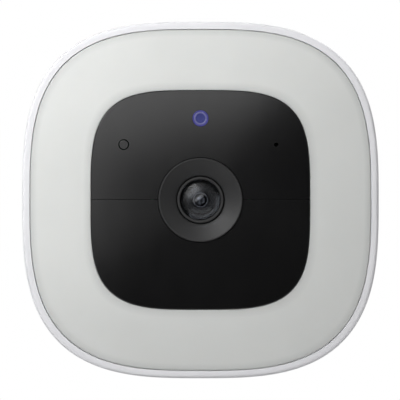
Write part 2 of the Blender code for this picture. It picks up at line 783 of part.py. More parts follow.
def build_chassis(head):
    front = TRAY_FLOOR + 1.9
    back = front + 2.0
    sections = (
        (front, 14.5),
        (front, 29.9, PANEL_POWER),
        (PANEL_BACK + GAP, 29.9, PANEL_POWER),
        (PANEL_BACK + GAP, 31.9, PANEL_POWER),
        (front, 31.9, PANEL_POWER),
        (front, 46.2, SEAM_POWER),
        (back, 46.2, SEAM_POWER),
        (back, 14.5),
    )
    chassis = piece("mid_frame", loft(at_depth(sections), ring=True), MATTE_BLACK, head)
    cut(chassis, "screw_holes", *at_case_screws(CASE_SCREW_HOLE, 12.0, 17.0, TINY_SIDES))
    posts = []
    for x in (-25.0, 25.0):
        for z in (-20.0, 20.0):
            span = (face_y(back - 0.5), face_y(MAIN_BOARD_FRONT - GAP))
            posts.append(rod(x, z, 2.0, *span, TINY_SIDES))
    join(chassis, "board_posts", *posts)

    head_front = TRAY_FLOOR - GAP - 1.8
    for number, (x, z) in enumerate(four_corners(CASE_SCREW_AT), start=1):
        screw = (
            (head_front + 0.9, 0.0),
            (head_front + 0.9, 1.1),
            (head_front, 1.2),
            (head_front, 2.0),
            (head_front + 0.5, CASE_SCREW_HEAD),
            (head_front + 1.8, CASE_SCREW_HEAD),
            (head_front + 1.8, CASE_SCREW_SHANK),
            (24.0, CASE_SCREW_SHANK),
            (24.8, 0.0),
        )
        shape = loft(at_depth(screw), at=(x, z), sides=SMALL_SIDES)
        piece(f"case_screw_{number}", shape, STEEL, head)


# ---------------------------------------------------------------- head: electronics and power


def block(name, material, head, x_span, depth_span, z_span, round_edges=0.0):
    y_span = (face_y(depth_span[0]), face_y(depth_span[1]))
    return piece(name, slab(x_span, y_span, z_span, round_edges), material, head)


def build_front_sensors(head):
    depths = (SENSOR_BOARD_FRONT, SENSOR_BOARD_FRONT + 1.0)
    board = block("sensor_board", BOARD_GREEN, head, (-23.6, 23.6), depths, (13.2, 25.2))
    notch = rod(0, 0, 14.6, face_y(5), face_y(8.5), ROUND_SIDES)
    cut(board, "bezel_notch", notch)
    x, z = STATUS_AT
    block("status_led", CHIP_BLACK, head, centred(x, 2.4), (4.0, SENSOR_BACK), centred(z, 1.6))
    x, z = LIGHT_SENSOR_AT
    depths = (4.7, SENSOR_BACK)
    block("ambient_light_sensor", CHIP_BLACK, head, centred(x, 2.2), depths, centred(z, 2.2))
    x, z = MICROPHONE_AT
    block("microphone", STEEL, head, centred(x, 3.6), (4.6, SENSOR_BACK), centred(z, 2.8), 0.2)
    depths = (4.2, SENSOR_BACK)
    for number, x in enumerate((-13.5, 13.5), start=1):
        z_span = centred(21.5, 3.4)
        block(f"ir_led_{number}", CHIP_BLACK, head, centred(x, 3.4), depths, z_span, 0.2)

    x, z = PIR_AT
    front = PIR_CAN_FRONT
    back = front + 4.6
    can = (
        (front, 0.0),
        (front, 4.0),
        (front + 0.4, 4.5),
        (back - 0.6, 4.5),
        (back - 0.6, 5.2),
        (back, 5.2),
        (back, 0.0),
    )
    piece("pir_sensor", loft(at_depth(can), at=PIR_AT, sides=ROUND_SIDES), STEEL, head)
    depths = (back + GAP, back + GAP + 1.0)
    block("pir_board", BOARD_GREEN, head, centred(x, 22.0), depths, (z - 6.0, z + 5.5))


def build_main_board(head):
    depths = (MAIN_BOARD_FRONT, MAIN_BOARD_BACK)
    block("main_board", BOARD_GREEN, head, (-28.5, 28.5), depths, (-24.5, 24.5))
    depths = (MAIN_BOARD_BACK + GAP, MAIN_BOARD_BACK + GAP + 2.1)
    block("soc_shield", STEEL, head, (-12.0, 12.0), depths, (-9.0, 11.0), 0.3)
    block("wifi_antenna", BRASS, head, (-15.0, 15.0), (17.0, 25.0), (44.6, 45.0))
    coax = bpy.data.curves.new("antenna_cable", "CURVE")
    coax.dimensions = "3D"
    coax.bevel_depth = 0.6 * MM
    coax.bevel_resolution = 1
    coax.use_fill_caps = True
    route = (
        (8.0, 21.0, 43.7),
        (8.1, 21.1, 41.0),
        (8.6, 21.3, 37.0),
        (9.6, 21.5, 33.0),
        (11.0, 21.6, 29.0),
        (12.4, 21.5, 25.5),
        (13.2, 21.3, 22.0),
        (13.5, 21.1, 19.0),
    )
    line = coax.splines.new("POLY")
    line.points.add(len(route) - 1)
    for point, (x, depth, z) in zip(line.points, route):
        place = Vector((x, face_y(depth), z)) - Vector(head["place"])
        point.co = (*(place * MM), 1.0)
    coax.materials.append(MATTE_BLACK)
    cable = bpy.data.objects.new("antenna_cable", coax)
    bpy.context.collection.objects.link(cable)
    cable.parent = head


def build_battery(head):
    half = CELL_LENGTH / 2
    floor = (CELL_DEPTH - CELL_RADIUS - 1.6, CELL_DEPTH - CELL_RADIUS - GAP - 0.1)
    width = CELL_PITCH + CELL_RADIUS
    end = half + 0.9
    reach = end + 1.2
    holder = block("battery_holder", MATTE_BLACK, head, (-reach, reach), floor, (-width, width))
    walls = []
    for side in (-1, 1):
        x_span = sorted((side * end, side * reach))
        y_span = (face_y(floor[0]), face_y(CELL_DEPTH + 7.0))
        walls.append(slab(x_span, y_span, (-width, width)))
    join(holder, "end_walls", *walls)
    for number in (1, 2, 3):
        z = (number - 2) * CELL_PITCH
        spot = (0.0, face_y(CELL_DEPTH), z)
        outline = (
            (-half, 0.0),
            (-half, CELL_RADIUS - 0.5),
            (-half + 0.5, CELL_RADIUS),
            (half - 1.2, CELL_RADIUS),
            (half - 0.8, CELL_RADIUS - 0.6),
            (half - 0.8, 3.0),
            (half, 3.0),
            (half, 0.0),
        )
        shape = loft(outline, sides=ROUND_SIDES)
        turn = Matrix.Translation(spot) @ Matrix.Rotation(math.radians(-90), 4, "Z")
        bmesh.ops.transform(shape, matrix=turn, verts=shape.verts)
        piece(f"battery_cell_{number}", shape, CELL_WRAP, head, spot)
    for name, side in (("left", -1), ("right", 1)):
        x_span = sorted((side * (half + GAP), side * (half + GAP + 0.3)))
        depth_span = (CELL_DEPTH - 4.0, CELL_DEPTH + 4.0)
        block(f"battery_strip_{name}", STEEL, head, x_span, depth_span, (-22.0, 22.0))


def build_back_electronics(head):
    x, z = USB_AT
    depths = (BACK_BOARD_FRONT, BACK_BOARD_BACK)
    block("usb_board", BOARD_GREEN, head, (-17.5, 19.5), depths, (-24.0, -10.5))
    front = BACK_BOARD_BACK + GAP
    wide = centred(x, PORT_SIZE[0])
    port = block("usb_port", STEEL, head, wide, (front, 55.8), centred(z, PORT_SIZE[1]), 0.9)
    mouth_depths = (face_y(front + 1.8), face_y(57))
    mouth = slab(centred(x, PORT_SIZE[0] - 0.8), mouth_depths, centred(z, PORT_SIZE[1] - 0.8), 0.7)
    cut(port, "mouth", mouth)
    x, z = BUTTON_AT
    block("sync_switch", CHIP_BLACK, head, centred(x, 6.0), (front, front + 3.5), centred(z, 6.0))

    low = -HEAD_HALF + WALL + 3.4
    depths = (SPEAKER_DEPTH - 7.0, SPEAKER_DEPTH + 7.0)
    body = block("speaker", MATTE_BLACK, head, (-12.0, 12.0), depths, (low, low + 4.8), 0.8)
    ridge = bmesh.new()
    bmesh.ops.create_cone(ridge, cap_ends=True, segments=24, radius1=5.0, radius2=5.0, depth=3.0)
    bmesh.ops.translate(ridge, vec=(0, face_y(SPEAKER_DEPTH), low + 5.6), verts=ridge.verts)
    join(body, "magnet", ridge)


def build_usb_cover(head):
    x, z = USB_AT
    back = face_y(HEAD_DEPTH)
    hinge = (x, back, z - COVER_SIZE[1] / 2)
    wide, high = COVER_SIZE
    plate = slab(centred(x, wide), (back - 1.3, back + 0.1), centred(z, high), 0.3)
    cover = piece("usb_cover", plate, RUBBER, head, hinge)
    wide, high = PORT_SIZE
    plug = slab(centred(x, wide + 0.9), (back - 1.9, back - 1.0), centred(z, high + 0.7))
    pull = slab(centred(x, 6.0), (back - 0.2, back + 0.7), (z + 2.6, z + 3.6), 0.2)
    join(cover, "plug_and_pull", plug, pull)


def build_sync_button(head):
    back = HEAD_DEPTH
    under = HEAD_DEPTH - BACK_WALL
    outline = (
        (back + 0.8, 0.0),
        (back + 0.8, BUTTON_RADIUS - 0.5),
        (back + 0.4, BUTTON_RADIUS),
        (under - GAP, BUTTON_RADIUS),
        (under - GAP, BUTTON_RADIUS + 1.1),
        (under - GAP - 0.8, BUTTON_RADIUS + 1.1),
        (under - GAP - 0.8, 1.3),
        (52.3, 1.3),
        (52.3, 0.0),
    )
    shape = loft(at_depth(outline), at=BUTTON_AT, sides=ROUND_SIDES)
    x, z = BUTTON_AT
    piece("sync_button", shape, RUBBER, head, (x, face_y(back), z))


wall_frame = pivot("wall_frame", (0.0, 0.0, 0.0))
swivel_pivot = pivot("swivel_pivot", (0.0, -PLATE_FLOOR, 0.0), wall_frame)
tilt_pivot = pivot("tilt_pivot", (0.0, BALL_Y, 0.0), swivel_pivot)
roll_pivot = pivot("roll_pivot", (0.0, BALL_Y, 0.0), tilt_pivot)

build_wall_base(wall_frame)
build_swivel(swivel_pivot)
build_lock_ring(swivel_pivot)
build_ball_stud(tilt_pivot)
build_housing(roll_pivot)
build_diffuser(roll_pivot)
build_face(roll_pivot)
build_camera(roll_pivot)
build_floodlight(roll_pivot)
build_chassis(roll_pivot)
build_front_sensors(roll_pivot)
build_main_board(roll_pivot)
build_battery(roll_pivot)
build_back_electronics(roll_pivot)
build_usb_cover(roll_pivot)
build_sync_button(roll_pivot)
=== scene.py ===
"""Looks of the floodlight security camera: fine surfaces, materials, studio and camera.

Every shape is made in millimetres in the frame's own axes, and made() turns it into metres. The
camera head looks along -Y. Inside it, a depth is the distance behind the middle of the black face.
"""

import math

import bmesh
import bpy
from mathutils import Matrix, Vector


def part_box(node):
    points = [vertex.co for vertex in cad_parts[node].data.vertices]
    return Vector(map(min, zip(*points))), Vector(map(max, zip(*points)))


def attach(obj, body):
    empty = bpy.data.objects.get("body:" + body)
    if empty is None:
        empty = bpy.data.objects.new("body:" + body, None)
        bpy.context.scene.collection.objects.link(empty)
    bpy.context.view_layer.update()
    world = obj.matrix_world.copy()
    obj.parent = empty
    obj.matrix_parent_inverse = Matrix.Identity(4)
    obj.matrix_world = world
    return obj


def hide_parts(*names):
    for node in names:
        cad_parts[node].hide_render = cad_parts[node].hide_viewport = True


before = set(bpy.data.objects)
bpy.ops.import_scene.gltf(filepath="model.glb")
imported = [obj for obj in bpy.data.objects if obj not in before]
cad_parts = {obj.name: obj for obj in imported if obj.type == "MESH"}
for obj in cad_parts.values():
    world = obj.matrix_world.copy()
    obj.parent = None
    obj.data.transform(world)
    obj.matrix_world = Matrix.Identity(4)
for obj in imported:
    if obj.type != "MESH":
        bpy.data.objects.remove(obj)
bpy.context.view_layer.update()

MM = 0.001
GAP = 0.3  # the frame's clearance between neighbouring pieces
FINE_GAP = 0.14  # the narrower gap that shows between two visible edges
SEAM_GAP = 0.11  # and the one between the diffuser and the rim
BALL_RADIUS = 7.0

# Places taken from the frame, in millimetres
HEAD_BACK_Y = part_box("rear_housing")[1].y / MM
HEAD_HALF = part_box("rear_housing")[1].x / MM
BALL_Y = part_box("ball_stud")[1].y / MM - BALL_RADIUS
PLATE_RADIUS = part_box("wall_plate")[1].x / MM
HEAD_DEPTH = 58.0
FACE_Y = HEAD_BACK_Y - HEAD_DEPTH

# The same driving sizes as the frame's. Round things are given by their radius. First the ball mount
SWIVEL_RADIUS = 13.4
SWIVEL_THICK = 2.3
NECK_RADIUS = 7.5
PLATE_RECESS = -2.0  # Y of the recess's floor in the wall plate
WALL_SCREW_TURNS = (90, 210, 330)  # degrees round the mount's axis
WALL_SCREW_CIRCLE = 25.0
WALL_SCREW_HOLE = 2.2
WALL_SCREW_SINK = 4.2
RETAINER_RADIUS = 19.0
RETAINER_BORE = 9.0
RETAINER_SCREW_TURNS = (30, 150, 270)
RETAINER_SCREW_CIRCLE = 16.2
RETAINER_SCREW_HOLE = 1.3
RETAINER_SCREW_SEAT = 2.1
RETAINER_SCREW_HEAD = 1.7
RETAINER_SCREW_SHANK = 1.0
CUP_RADIUS = 9.6
SOCKET_RADIUS = 7.3  # of the hollows that hold the ball
LOCK_RING_BORE = 9.9
LOCK_RING_RADIUS = 12.6
LOCK_RING_FRONT = 12.4  # radius of the ring's rounded front
LOCK_LIP_ANGLE = 58  # degrees from the -Y direction to the edge of the ring's mouth
STUD_NECK = 2.6
STUD_RADIUS = 3.1
STUD_THREAD = 1.27  # pitch of the camera thread
NUT_RADIUS = 8.0
NUT_BORE = 3.4
NUT_END = 6.6  # radius of the nut's two flat ends

# The head
HEAD_POWER = 3.04
SIDE_DEPTH = 14.0
BACK_HALF = 24.5
BACK_POWER = 2.6
WALL = 2.4
BACK_WALL = 2.5
SEAM_HALF = 48.7
SEAM_POWER = 3.07
LEDGE_DEPTH = 5.5
LEDGE_HALF = 46.9
PANEL_HALF = 31.3
PANEL_POWER = 3.70
PANEL_CROWN = 0.9
PANEL_BACK = 3.0
DIFFUSER_THICK = 2.0
DIFFUSER_CROWN = 1.6
DIFFUSER_SWEEP = 1.3
SPLIT_Z = 0.14  # middle of the line across the black face
BEZEL_RADIUS = 12.0
BEZEL_THROAT = 6.9
TRIM_RADIUS = 6.6
LENS_RADIUS = 5.6
STATUS_AT = (0.0, 23.3)
STATUS_RADIUS = 1.9
LIGHT_SENSOR_AT = (-21.9, 15.8)
LIGHT_SENSOR_RADIUS = 1.25
MICROPHONE_AT = (21.6, 15.8)
MICROPHONE_HOLE = 0.6
INSERT_RADIUS = 5.0
INSERT_BORE = 3.45
INSERT_LENGTH = 8.0
USB_AT = (-5.0, -17.0)
COVER_SIZE = (16.0, 9.0)
PORT_SIZE = (8.9, 3.2)
BUTTON_AT = (11.5, -17.0)
BUTTON_RADIUS = 2.8
SPEAKER_DEPTH = 24.0
GRILLE_PITCH = 3.2
CASE_SCREW_AT = 31.5
CASE_SCREW_HOLE = 1.5
PILLAR_RADIUS = 3.2
PILLAR_BACK = 44.0
TRAY_FLOOR = 11.2
LENS_POLE = 0.9
LENS_EDGE = 2.9
LENS_THICK = 0.9
BARREL_FRONT = 4.9
BARREL_BACK = 13.0
BARREL_RADIUS = 6.2
IRIS_BORE = 1.88
REAR_LENS_RADIUS = 1.7
PORT_FRONT = 47.7  # depths of the charging port's shell, and of the bottom of its mouth
PORT_BACK = 55.8
PORT_FLOOR = 49.5

ROUND = 2.0  # the power of a plain circle
FINE_SIDES = 192  # round a rounded square of the head
TURNED_SIDES = 96
SMALL_SIDES = 48
EASE_STEPS = 5  # along one rounded corner of a section

# Studio
CAMERA_LENS_MM = 400.0
SENSOR_MM = 36.0
VIEW_HALF_WIDTH = 57.46  # millimetres from the middle of the picture to its edge
CAMERA_X = -0.14  # millimetres
FLOOR_Z = -2300.0  # millimetres, far enough down to leave no shadow in the picture
WORLD_FRONT = 0.43  # radiance in front of the object, away from the camera's own direction
WORLD_BACK = 0.70  # radiance behind the object
WORLD_KEY = 0.85  # radiance in the middle of the soft key, high on the left
KEY_DIRECTION = (-0.53, -0.57, 0.63)
FRONT_SOFTBOX = 1.28  # this and the five below are how bright each lamp's surface is
NEAR_KEY = 6.0
CORNER_KEY = 1.05
SIDE_SOFTBOX = 0.85
EDGE_STRIP = 2.3
REAR_SOFTBOX = 3.0


# -------- shape tools


def face_y(depth):
    return FACE_Y + depth


def face_depth(x, z):
    """Depth of the black face's crowned front at this place."""
    half = (abs(x) ** PANEL_POWER + abs(z) ** PANEL_POWER) ** (1.0 / PANEL_POWER)
    return PANEL_CROWN * (half / PANEL_HALF) ** 2


def rounded_square(half, power, angle):
    x = math.cos(angle)
    z = math.sin(angle)
    reach = half / (abs(x) ** power + abs(z) ** power) ** (1.0 / power)
    return reach * x, reach * z


def eased(corners, closed=False):
    """A section line with its corners rounded.

    A corner is (y, half, power, radius). The last two may be left out: a circle, and a sharp corner.
    """
    full = [tuple(corner) + (ROUND, 0.0)[len(corner) - 2 :] for corner in corners]
    line = []
    for place, (y, half, power, radius) in enumerate(full):
        before = full[place - 1] if place or closed else None
        after = full[(place + 1) % len(full)] if place + 1 < len(full) or closed else None
        if not radius or before is None or after is None:
            line.append((y, half, power))
            continue
        here = Vector((y, half))
        back = Vector(before[:2]) - here
        on = Vector(after[:2]) - here
        reach = min(radius, back.length * 0.49, on.length * 0.49)
        start = here + back.normalized() * reach
        end = here + on.normalized() * reach
        for step in range(EASE_STEPS + 1):
            t = step / EASE_STEPS
            point = start * (1 - t) ** 2 + here * 2 * t * (1 - t) + end * t**2
            line.append((point.x, max(point.y, 0.0), power))
    return line


def loft(sections, at=(0.0, 0.0), sides=TURNED_SIDES, ring=False, ripple=None):
    """A closed skin through sections across Y. Half 0 is a point on the axis.

    ripple(angle, y, half) gives a change of the half width, for knurls and threads.
    """
    shape = bmesh.new()
    rows = []
    for y, half, power in sections:
        if half < 1e-6:
            rows.append([shape.verts.new((at[0], y, at[1]))] * sides)
            continue
        row = []
        for side in range(sides):
            angle = math.tau * side / sides
            more = ripple(angle, y, half) if ripple else 0.0
            x, z = rounded_square(half + more, power, angle)
            row.append(shape.verts.new((at[0] + x, y, at[1] + z)))
        rows.append(row)
    pairs = list(zip(rows, rows[1:]))
    if ring:
        pairs.append((rows[-1], rows[0]))
    for near, far in pairs:
        for side in range(sides):
            after = (side + 1) % sides
            corners = list(dict.fromkeys((near[side], near[after], far[after], far[side])))
            if len(corners) > 2:
                shape.faces.new(corners)
    if not ring:
        for row in (rows[0], rows[-1]):
            if row[0] is not row[1]:
                shape.faces.new(row)
    bmesh.ops.recalc_face_normals(shape, faces=shape.faces)
    return shape


def turned(corners, at=(0.0, 0.0), sides=TURNED_SIDES, ring=False, ripple=None):
    """A closed skin through the section line that has these corners."""
    return loft(eased(corners, ring), at, sides, ring, ripple)


def in_head(corners):
    """The same corners with their depths in the head turned into Y."""
    return [(face_y(corner[0]), *corner[1:]) for corner in corners]


def rod(radius, front, back, at, sides=SMALL_SIDES):
    """A plain cylinder along Y between two depths of the head."""
    return turned(in_head(((front, 0.0), (front, radius), (back, radius), (back, 0.0))), at, sides)


def slab(x_span, y_span, z_span, edge=0.0):
    """A box between these spans, with its edges rounded by edge."""
    shape = bmesh.new()
    bmesh.ops.create_cube(shape, size=1.0)
    spans = (x_span, y_span, z_span)
    bmesh.ops.scale(shape, vec=[high - low for low, high in spans], verts=shape.verts)
    middle = [(high + low) / 2 for low, high in spans]
    bmesh.ops.translate(shape, vec=middle, verts=shape.verts)
    if edge:
        bmesh.ops.bevel(shape, geom=shape.edges, offset=edge, segments=3, profile=0.5, affect="EDGES")
    return shape


def centred(middle, size):
    return middle - size / 2, middle + size / 2


def pill(at, size, front, back, chamfer=0.0, corner=None):
    """A rounded rectangle in X and Z, pushed along Y. The chamfer widens its back end."""
    radius = corner if corner is not None else min(size) / 2
    half_x = size[0] / 2 - radius
    half_z = size[1] / 2 - radius
    steps = 8
    outline = []
    for quarter, (sign_x, sign_z) in enumerate(((1, 1), (-1, 1), (-1, -1), (1, -1))):
        for step in range(steps + 1):
            angle = math.radians(90 * quarter + 90 * step / steps)
            outline.append((sign_x * half_x, sign_z * half_z, math.cos(angle), math.sin(angle)))
    levels = [(front, 0.0), (back, 0.0)]
    if chamfer:
        levels = [(front, 0.0), (back - chamfer, 0.0), (back, chamfer), (back + 1.0, chamfer)]
    shape = bmesh.new()
    rows = []
    for y, wider in levels:
        row = []
        for x, z, out_x, out_z in outline:
            reach = radius + wider
            row.append(shape.verts.new((at[0] + x + out_x * reach, y, at[1] + z + out_z * reach)))
        rows.append(row)
    for near, far in zip(rows, rows[1:]):
        for side in range(len(outline)):
            after = (side + 1) % len(outline)
            shape.faces.new((near[side], near[after], far[after], far[side]))
    shape.faces.new(rows[0])
    shape.faces.new(rows[-1])
    bmesh.ops.recalc_face_normals(shape, faces=shape.faces)
    return shape


def merged(shapes):
    """One bmesh with all of these in it. They are used up."""
    whole = bmesh.new()
    for shape in shapes:
        part = bpy.data.meshes.new("part")
        shape.to_mesh(part)
        shape.free()
        whole.from_mesh(part)
        bpy.data.meshes.remove(part)
    return whole


def smooth(mesh):
    mesh.shade_smooth()
    mesh.set_sharp_from_angle(angle=math.radians(32))


def made(name, shape, material):
    """A plain mesh object from a bmesh in millimetres."""
    bmesh.ops.scale(shape, vec=(MM, MM, MM), verts=shape.verts)
    mesh = bpy.data.meshes.new(name)
    shape.to_mesh(mesh)
    shape.free()
    mesh.materials.append(material)
    smooth(mesh)
    obj = bpy.data.objects.new(name, mesh)
    bpy.context.scene.collection.objects.link(obj)
    return obj


def carve(obj, shapes, operation="DIFFERENCE"):
    """Cuts shapes in millimetres out of a piece, or joins them on, for good."""
    tool = made(obj.name + "_tool", merged(shapes), obj.data.materials[0])
    modifier = obj.modifiers.new("carve", "BOOLEAN")
    modifier.operation = operation
    modifier.object = tool
    graph = bpy.context.evaluated_depsgraph_get()
    mesh = bpy.data.meshes.new_from_object(obj.evaluated_get(graph))
    obj.modifiers.clear()
    old = obj.data
    obj.data = mesh
    bpy.data.meshes.remove(old)
    bpy.data.objects.remove(tool)
    smooth(mesh)
    return obj


def piece(obj, body, slot, *nodes):
    """Lets a finished object ride on its body, in place of these nodes."""
    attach(obj, body)
    if nodes:
        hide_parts(*nodes)
    return obj


def polar(radius, degrees):
    turn = math.radians(degrees)
    return radius * math.cos(turn), radius * math.sin(turn)


def four_corners(half):
    return [(x, z) for x in (-half, half) for z in (-half, half)]


# -------- material tools


class Nodes:
    """A material's node tree, with short calls for the nodes that the finishes share."""

    def __init__(self, name):
        self.material = bpy.data.materials.new(name)
        self.material.use_nodes = True
        self.tree = self.material.node_tree
        self.shader = self.tree.nodes["Principled BSDF"]
        coordinates = self.tree.nodes.new("ShaderNodeTexCoord")
        self.place = coordinates.outputs["Object"]

    def set(self, **values):
        for name, value in values.items():
            self.shader.inputs[name.replace("_", " ")].default_value = value

    def add(self, kind, **settings):
        node = self.tree.nodes.new("ShaderNode" + kind)
        for name, value in settings.items():
            setattr(node, name, value)
        return node

    def link(self, source, target):
        self.tree.links.new(source, target)

    def noise(self, per_metre, detail=3.0, roughness=0.55, stretch=None):
        texture = self.add("TexNoise")
        texture.inputs["Scale"].default_value = per_metre
        texture.inputs["Detail"].default_value = detail
        texture.inputs["Roughness"].default_value = roughness
        source = self.place
        if stretch:
            mapping = self.add("Mapping")
            mapping.inputs["Scale"].default_value = stretch
            self.link(self.place, mapping.inputs["Vector"])
            source = mapping.outputs["Vector"]
        self.link(source, texture.inputs["Vector"])
        return texture.outputs["Fac"]

    def cells(self, per_metre):
        texture = self.add("TexVoronoi", feature="F1")
        texture.inputs["Scale"].default_value = per_metre
        self.link(self.place, texture.inputs["Vector"])
        return texture.outputs["Distance"]

    def between(self, value, low, high, from_low=0.3, from_high=0.7):
        span = self.add("MapRange")
        span.inputs["From Min"].default_value = from_low
        span.inputs["From Max"].default_value = from_high
        span.inputs["To Min"].default_value = low
        span.inputs["To Max"].default_value = high
        self.link(value, span.inputs["Value"])
        return span.outputs["Result"]

    def blend(self, value, first, second, from_low=0.3, from_high=0.7):
        ramp = self.add("ValToRGB")
        ramp.color_ramp.elements[0].position = from_low
        ramp.color_ramp.elements[0].color = (*first, 1.0)
        ramp.color_ramp.elements[1].position = from_high
        ramp.color_ramp.elements[1].color = (*second, 1.0)
        self.link(value, ramp.inputs["Fac"])
        return ramp.outputs["Color"]

    def bump(self, value, height_mm, below=None):
        node = self.add("Bump")
        node.inputs["Distance"].default_value = height_mm * MM
        node.inputs["Strength"].default_value = 1.0
        self.link(value, node.inputs["Height"])
        if below:
            self.link(below, node.inputs["Normal"])
        self.link(node.outputs["Normal"], self.shader.inputs["Normal"])
        return node.outputs["Normal"]

    def result(self, operation, first, second=None):
        """A Math node's output, from outputs of other nodes or plain numbers."""
        node = self.add("Math", operation=operation)
        for place, value in enumerate((first, second)):
            if isinstance(value, float):
                node.inputs[place].default_value = value
            elif value:
                self.link(value, node.inputs[place])
        return node.outputs["Value"]

    def half_width(self, power):
        """The half width in millimetres of the head's rounded square that passes through a point."""
        split = self.add("SeparateXYZ")
        self.link(self.place, split.inputs["Vector"])
        sides = []
        for axis in ("X", "Z"):
            size = self.result("ABSOLUTE", self.result("DIVIDE", split.outputs[axis], MM))
            sides.append(self.result("POWER", size, power))
        return self.result("POWER", self.result("ADD", *sides), 1.0 / power)

    def colour(self, output):
        self.link(output, self.shader.inputs["Base Color"])

    def roughness(self, output):
        self.link(output, self.shader.inputs["Roughness"])


def moulded(name, first, second, rough, grain=0.012, **more):
    """Moulded plastic or rubber: faint tone patches, uneven gloss and a fine spark-eroded grain."""
    finish = Nodes(name)
    finish.set(IOR=1.50, **more)
    finish.colour(finish.blend(finish.noise(55.0), first, second))
    finish.roughness(finish.between(finish.noise(420.0), rough[0], rough[1]))
    coarse = finish.bump(finish.noise(900.0, 2.0), grain * 0.6)
    finish.bump(finish.noise(3600.0, 2.0), grain, below=coarse)
    return finish.material


def metal(name, first, second, rough):
    """Turned or plated metal with fine tool marks."""
    finish = Nodes(name)
    finish.set(Metallic=1.0)
    finish.colour(finish.blend(finish.noise(160.0), first, second))
    marks = finish.noise(700.0, 4.0, stretch=(1.0, 14.0, 1.0))
    finish.roughness(finish.between(marks, rough[0], rough[1]))
    finish.bump(marks, 0.004)
    return finish.material


def circuit_board(name):
    """Solder resist with raised tracks and small bright pads."""
    finish = Nodes(name)
    finish.set(IOR=1.52)
    tracks = finish.add("TexBrick")
    tracks.inputs["Scale"].default_value = 260.0
    tracks.inputs["Mortar Size"].default_value = 0.05
    turned_place = finish.add("Mapping")
    turned_place.inputs["Rotation"].default_value = (math.radians(90), 0.0, 0.0)
    finish.link(finish.place, turned_place.inputs["Vector"])
    finish.link(turned_place.outputs["Vector"], tracks.inputs["Vector"])
    tracks.inputs["Color1"].default_value = (0.012, 0.120, 0.045, 1.0)
    tracks.inputs["Color2"].default_value = (0.016, 0.150, 0.055, 1.0)
    tracks.inputs["Mortar"].default_value = (0.030, 0.230, 0.090, 1.0)
    pads = finish.cells(520.0)
    shown = finish.between(pads, 1.0, 0.0, 0.10, 0.14)
    mix = finish.add("Mix", data_type="RGBA")
    mix.inputs["B"].default_value = (0.62, 0.60, 0.52, 1.0)
    finish.link(shown, mix.inputs["Factor"])
    finish.link(tracks.outputs["Color"], mix.inputs["A"])
    finish.colour(mix.outputs["Result"])
    finish.link(finish.between(shown, 0.0, 0.9, 0.0, 1.0), finish.shader.inputs["Metallic"])
    finish.roughness(finish.between(finish.noise(300.0), 0.32, 0.46))
    finish.bump(tracks.outputs["Fac"], 0.03)
    return finish.material


def frosted(name):
    """Opal polycarbonate: light goes a little way in, and the surface is finely etched. Near both edges
    its colour is darkened as painted shade.
    """
    finish = Nodes(name)
    finish.set(IOR=1.56, Subsurface_Weight=0.35, Subsurface_Scale=0.003)
    finish.shader.inputs["Subsurface Radius"].default_value = (1.0, 0.95, 0.9)
    # Painted shade: the base colour darkens over the last 2.4 mm beside the black face and the last 2
    # mm beside the rim
    inner = finish.half_width(PANEL_POWER)
    outer = finish.half_width(SEAM_POWER)
    inner_edge_shade = finish.between(inner, 0.0, 1.0, PANEL_HALF, PANEL_HALF + 2.4)
    outer_edge_shade = finish.between(outer, 0.0, 1.0, SEAM_HALF, SEAM_HALF - 2.0)
    # tone is the painted edge shade mask, 0 at both edges and 1 away from them; lit multiplies it by
    # random tone patches
    tone = finish.result("MINIMUM", inner_edge_shade, outer_edge_shade)
    lit = finish.result("MULTIPLY", tone, finish.between(finish.noise(48.0), 0.82, 1.0))
    finish.colour(finish.blend(lit, (0.565, 0.575, 0.562), (0.690, 0.700, 0.685), 0.0, 1.0))
    finish.roughness(finish.between(finish.noise(600.0), 0.46, 0.54))
    finish.bump(finish.noise(4200.0, 2.0), 0.010)
    return finish.material


def black_gloss(name, rough, base, ior=1.49):
    """Polished black plastic with the faintest orange peel and a few fine rub marks."""
    finish = Nodes(name)
    finish.set(IOR=ior, Specular_IOR_Level=0.95)
    darker = tuple(value * 0.8 for value in base)
    finish.colour(finish.blend(finish.noise(70.0), darker, base))
    rubbed = finish.noise(380.0, 5.0, 0.7, stretch=(1.0, 1.0, 0.25))
    finish.roughness(finish.between(rubbed, rough * 0.93, rough * 1.07))
    finish.bump(finish.noise(210.0, 1.0), 0.002)
    return finish.material


def coated_glass(name, tint):
    """Clear lens glass with a thin coating that tints its reflection."""
    finish = Nodes(name)
    finish.set(IOR=1.20, Transmission_Weight=1.0, Roughness=0.0, Specular_IOR_Level=0.02)
    finish.set(Coat_Weight=1.0, Coat_Roughness=0.12, Coat_IOR=1.42, Coat_Tint=(*tint, 1.0))
    finish.colour(finish.blend(finish.noise(90.0), (0.94, 0.945, 0.95), (0.97, 0.975, 0.98)))
    return finish.material


def glowing(name, colour, strength, gloss):
    """A light pipe. Its glow is a little uneven, as a light behind it makes it."""
    finish = Nodes(name)
    finish.set(IOR=1.55, Specular_IOR_Level=gloss, Emission_Strength=strength)
    uneven = finish.noise(320.0, 2.0)
    dim = tuple(value * 0.70 for value in colour)
    shade = finish.blend(uneven, dim, colour)
    finish.link(shade, finish.shader.inputs["Emission Color"])
    finish.colour(finish.blend(uneven, (0.02, 0.02, 0.05), (0.03, 0.03, 0.07)))
    finish.roughness(finish.between(uneven, 0.22, 0.30))
    return finish.material


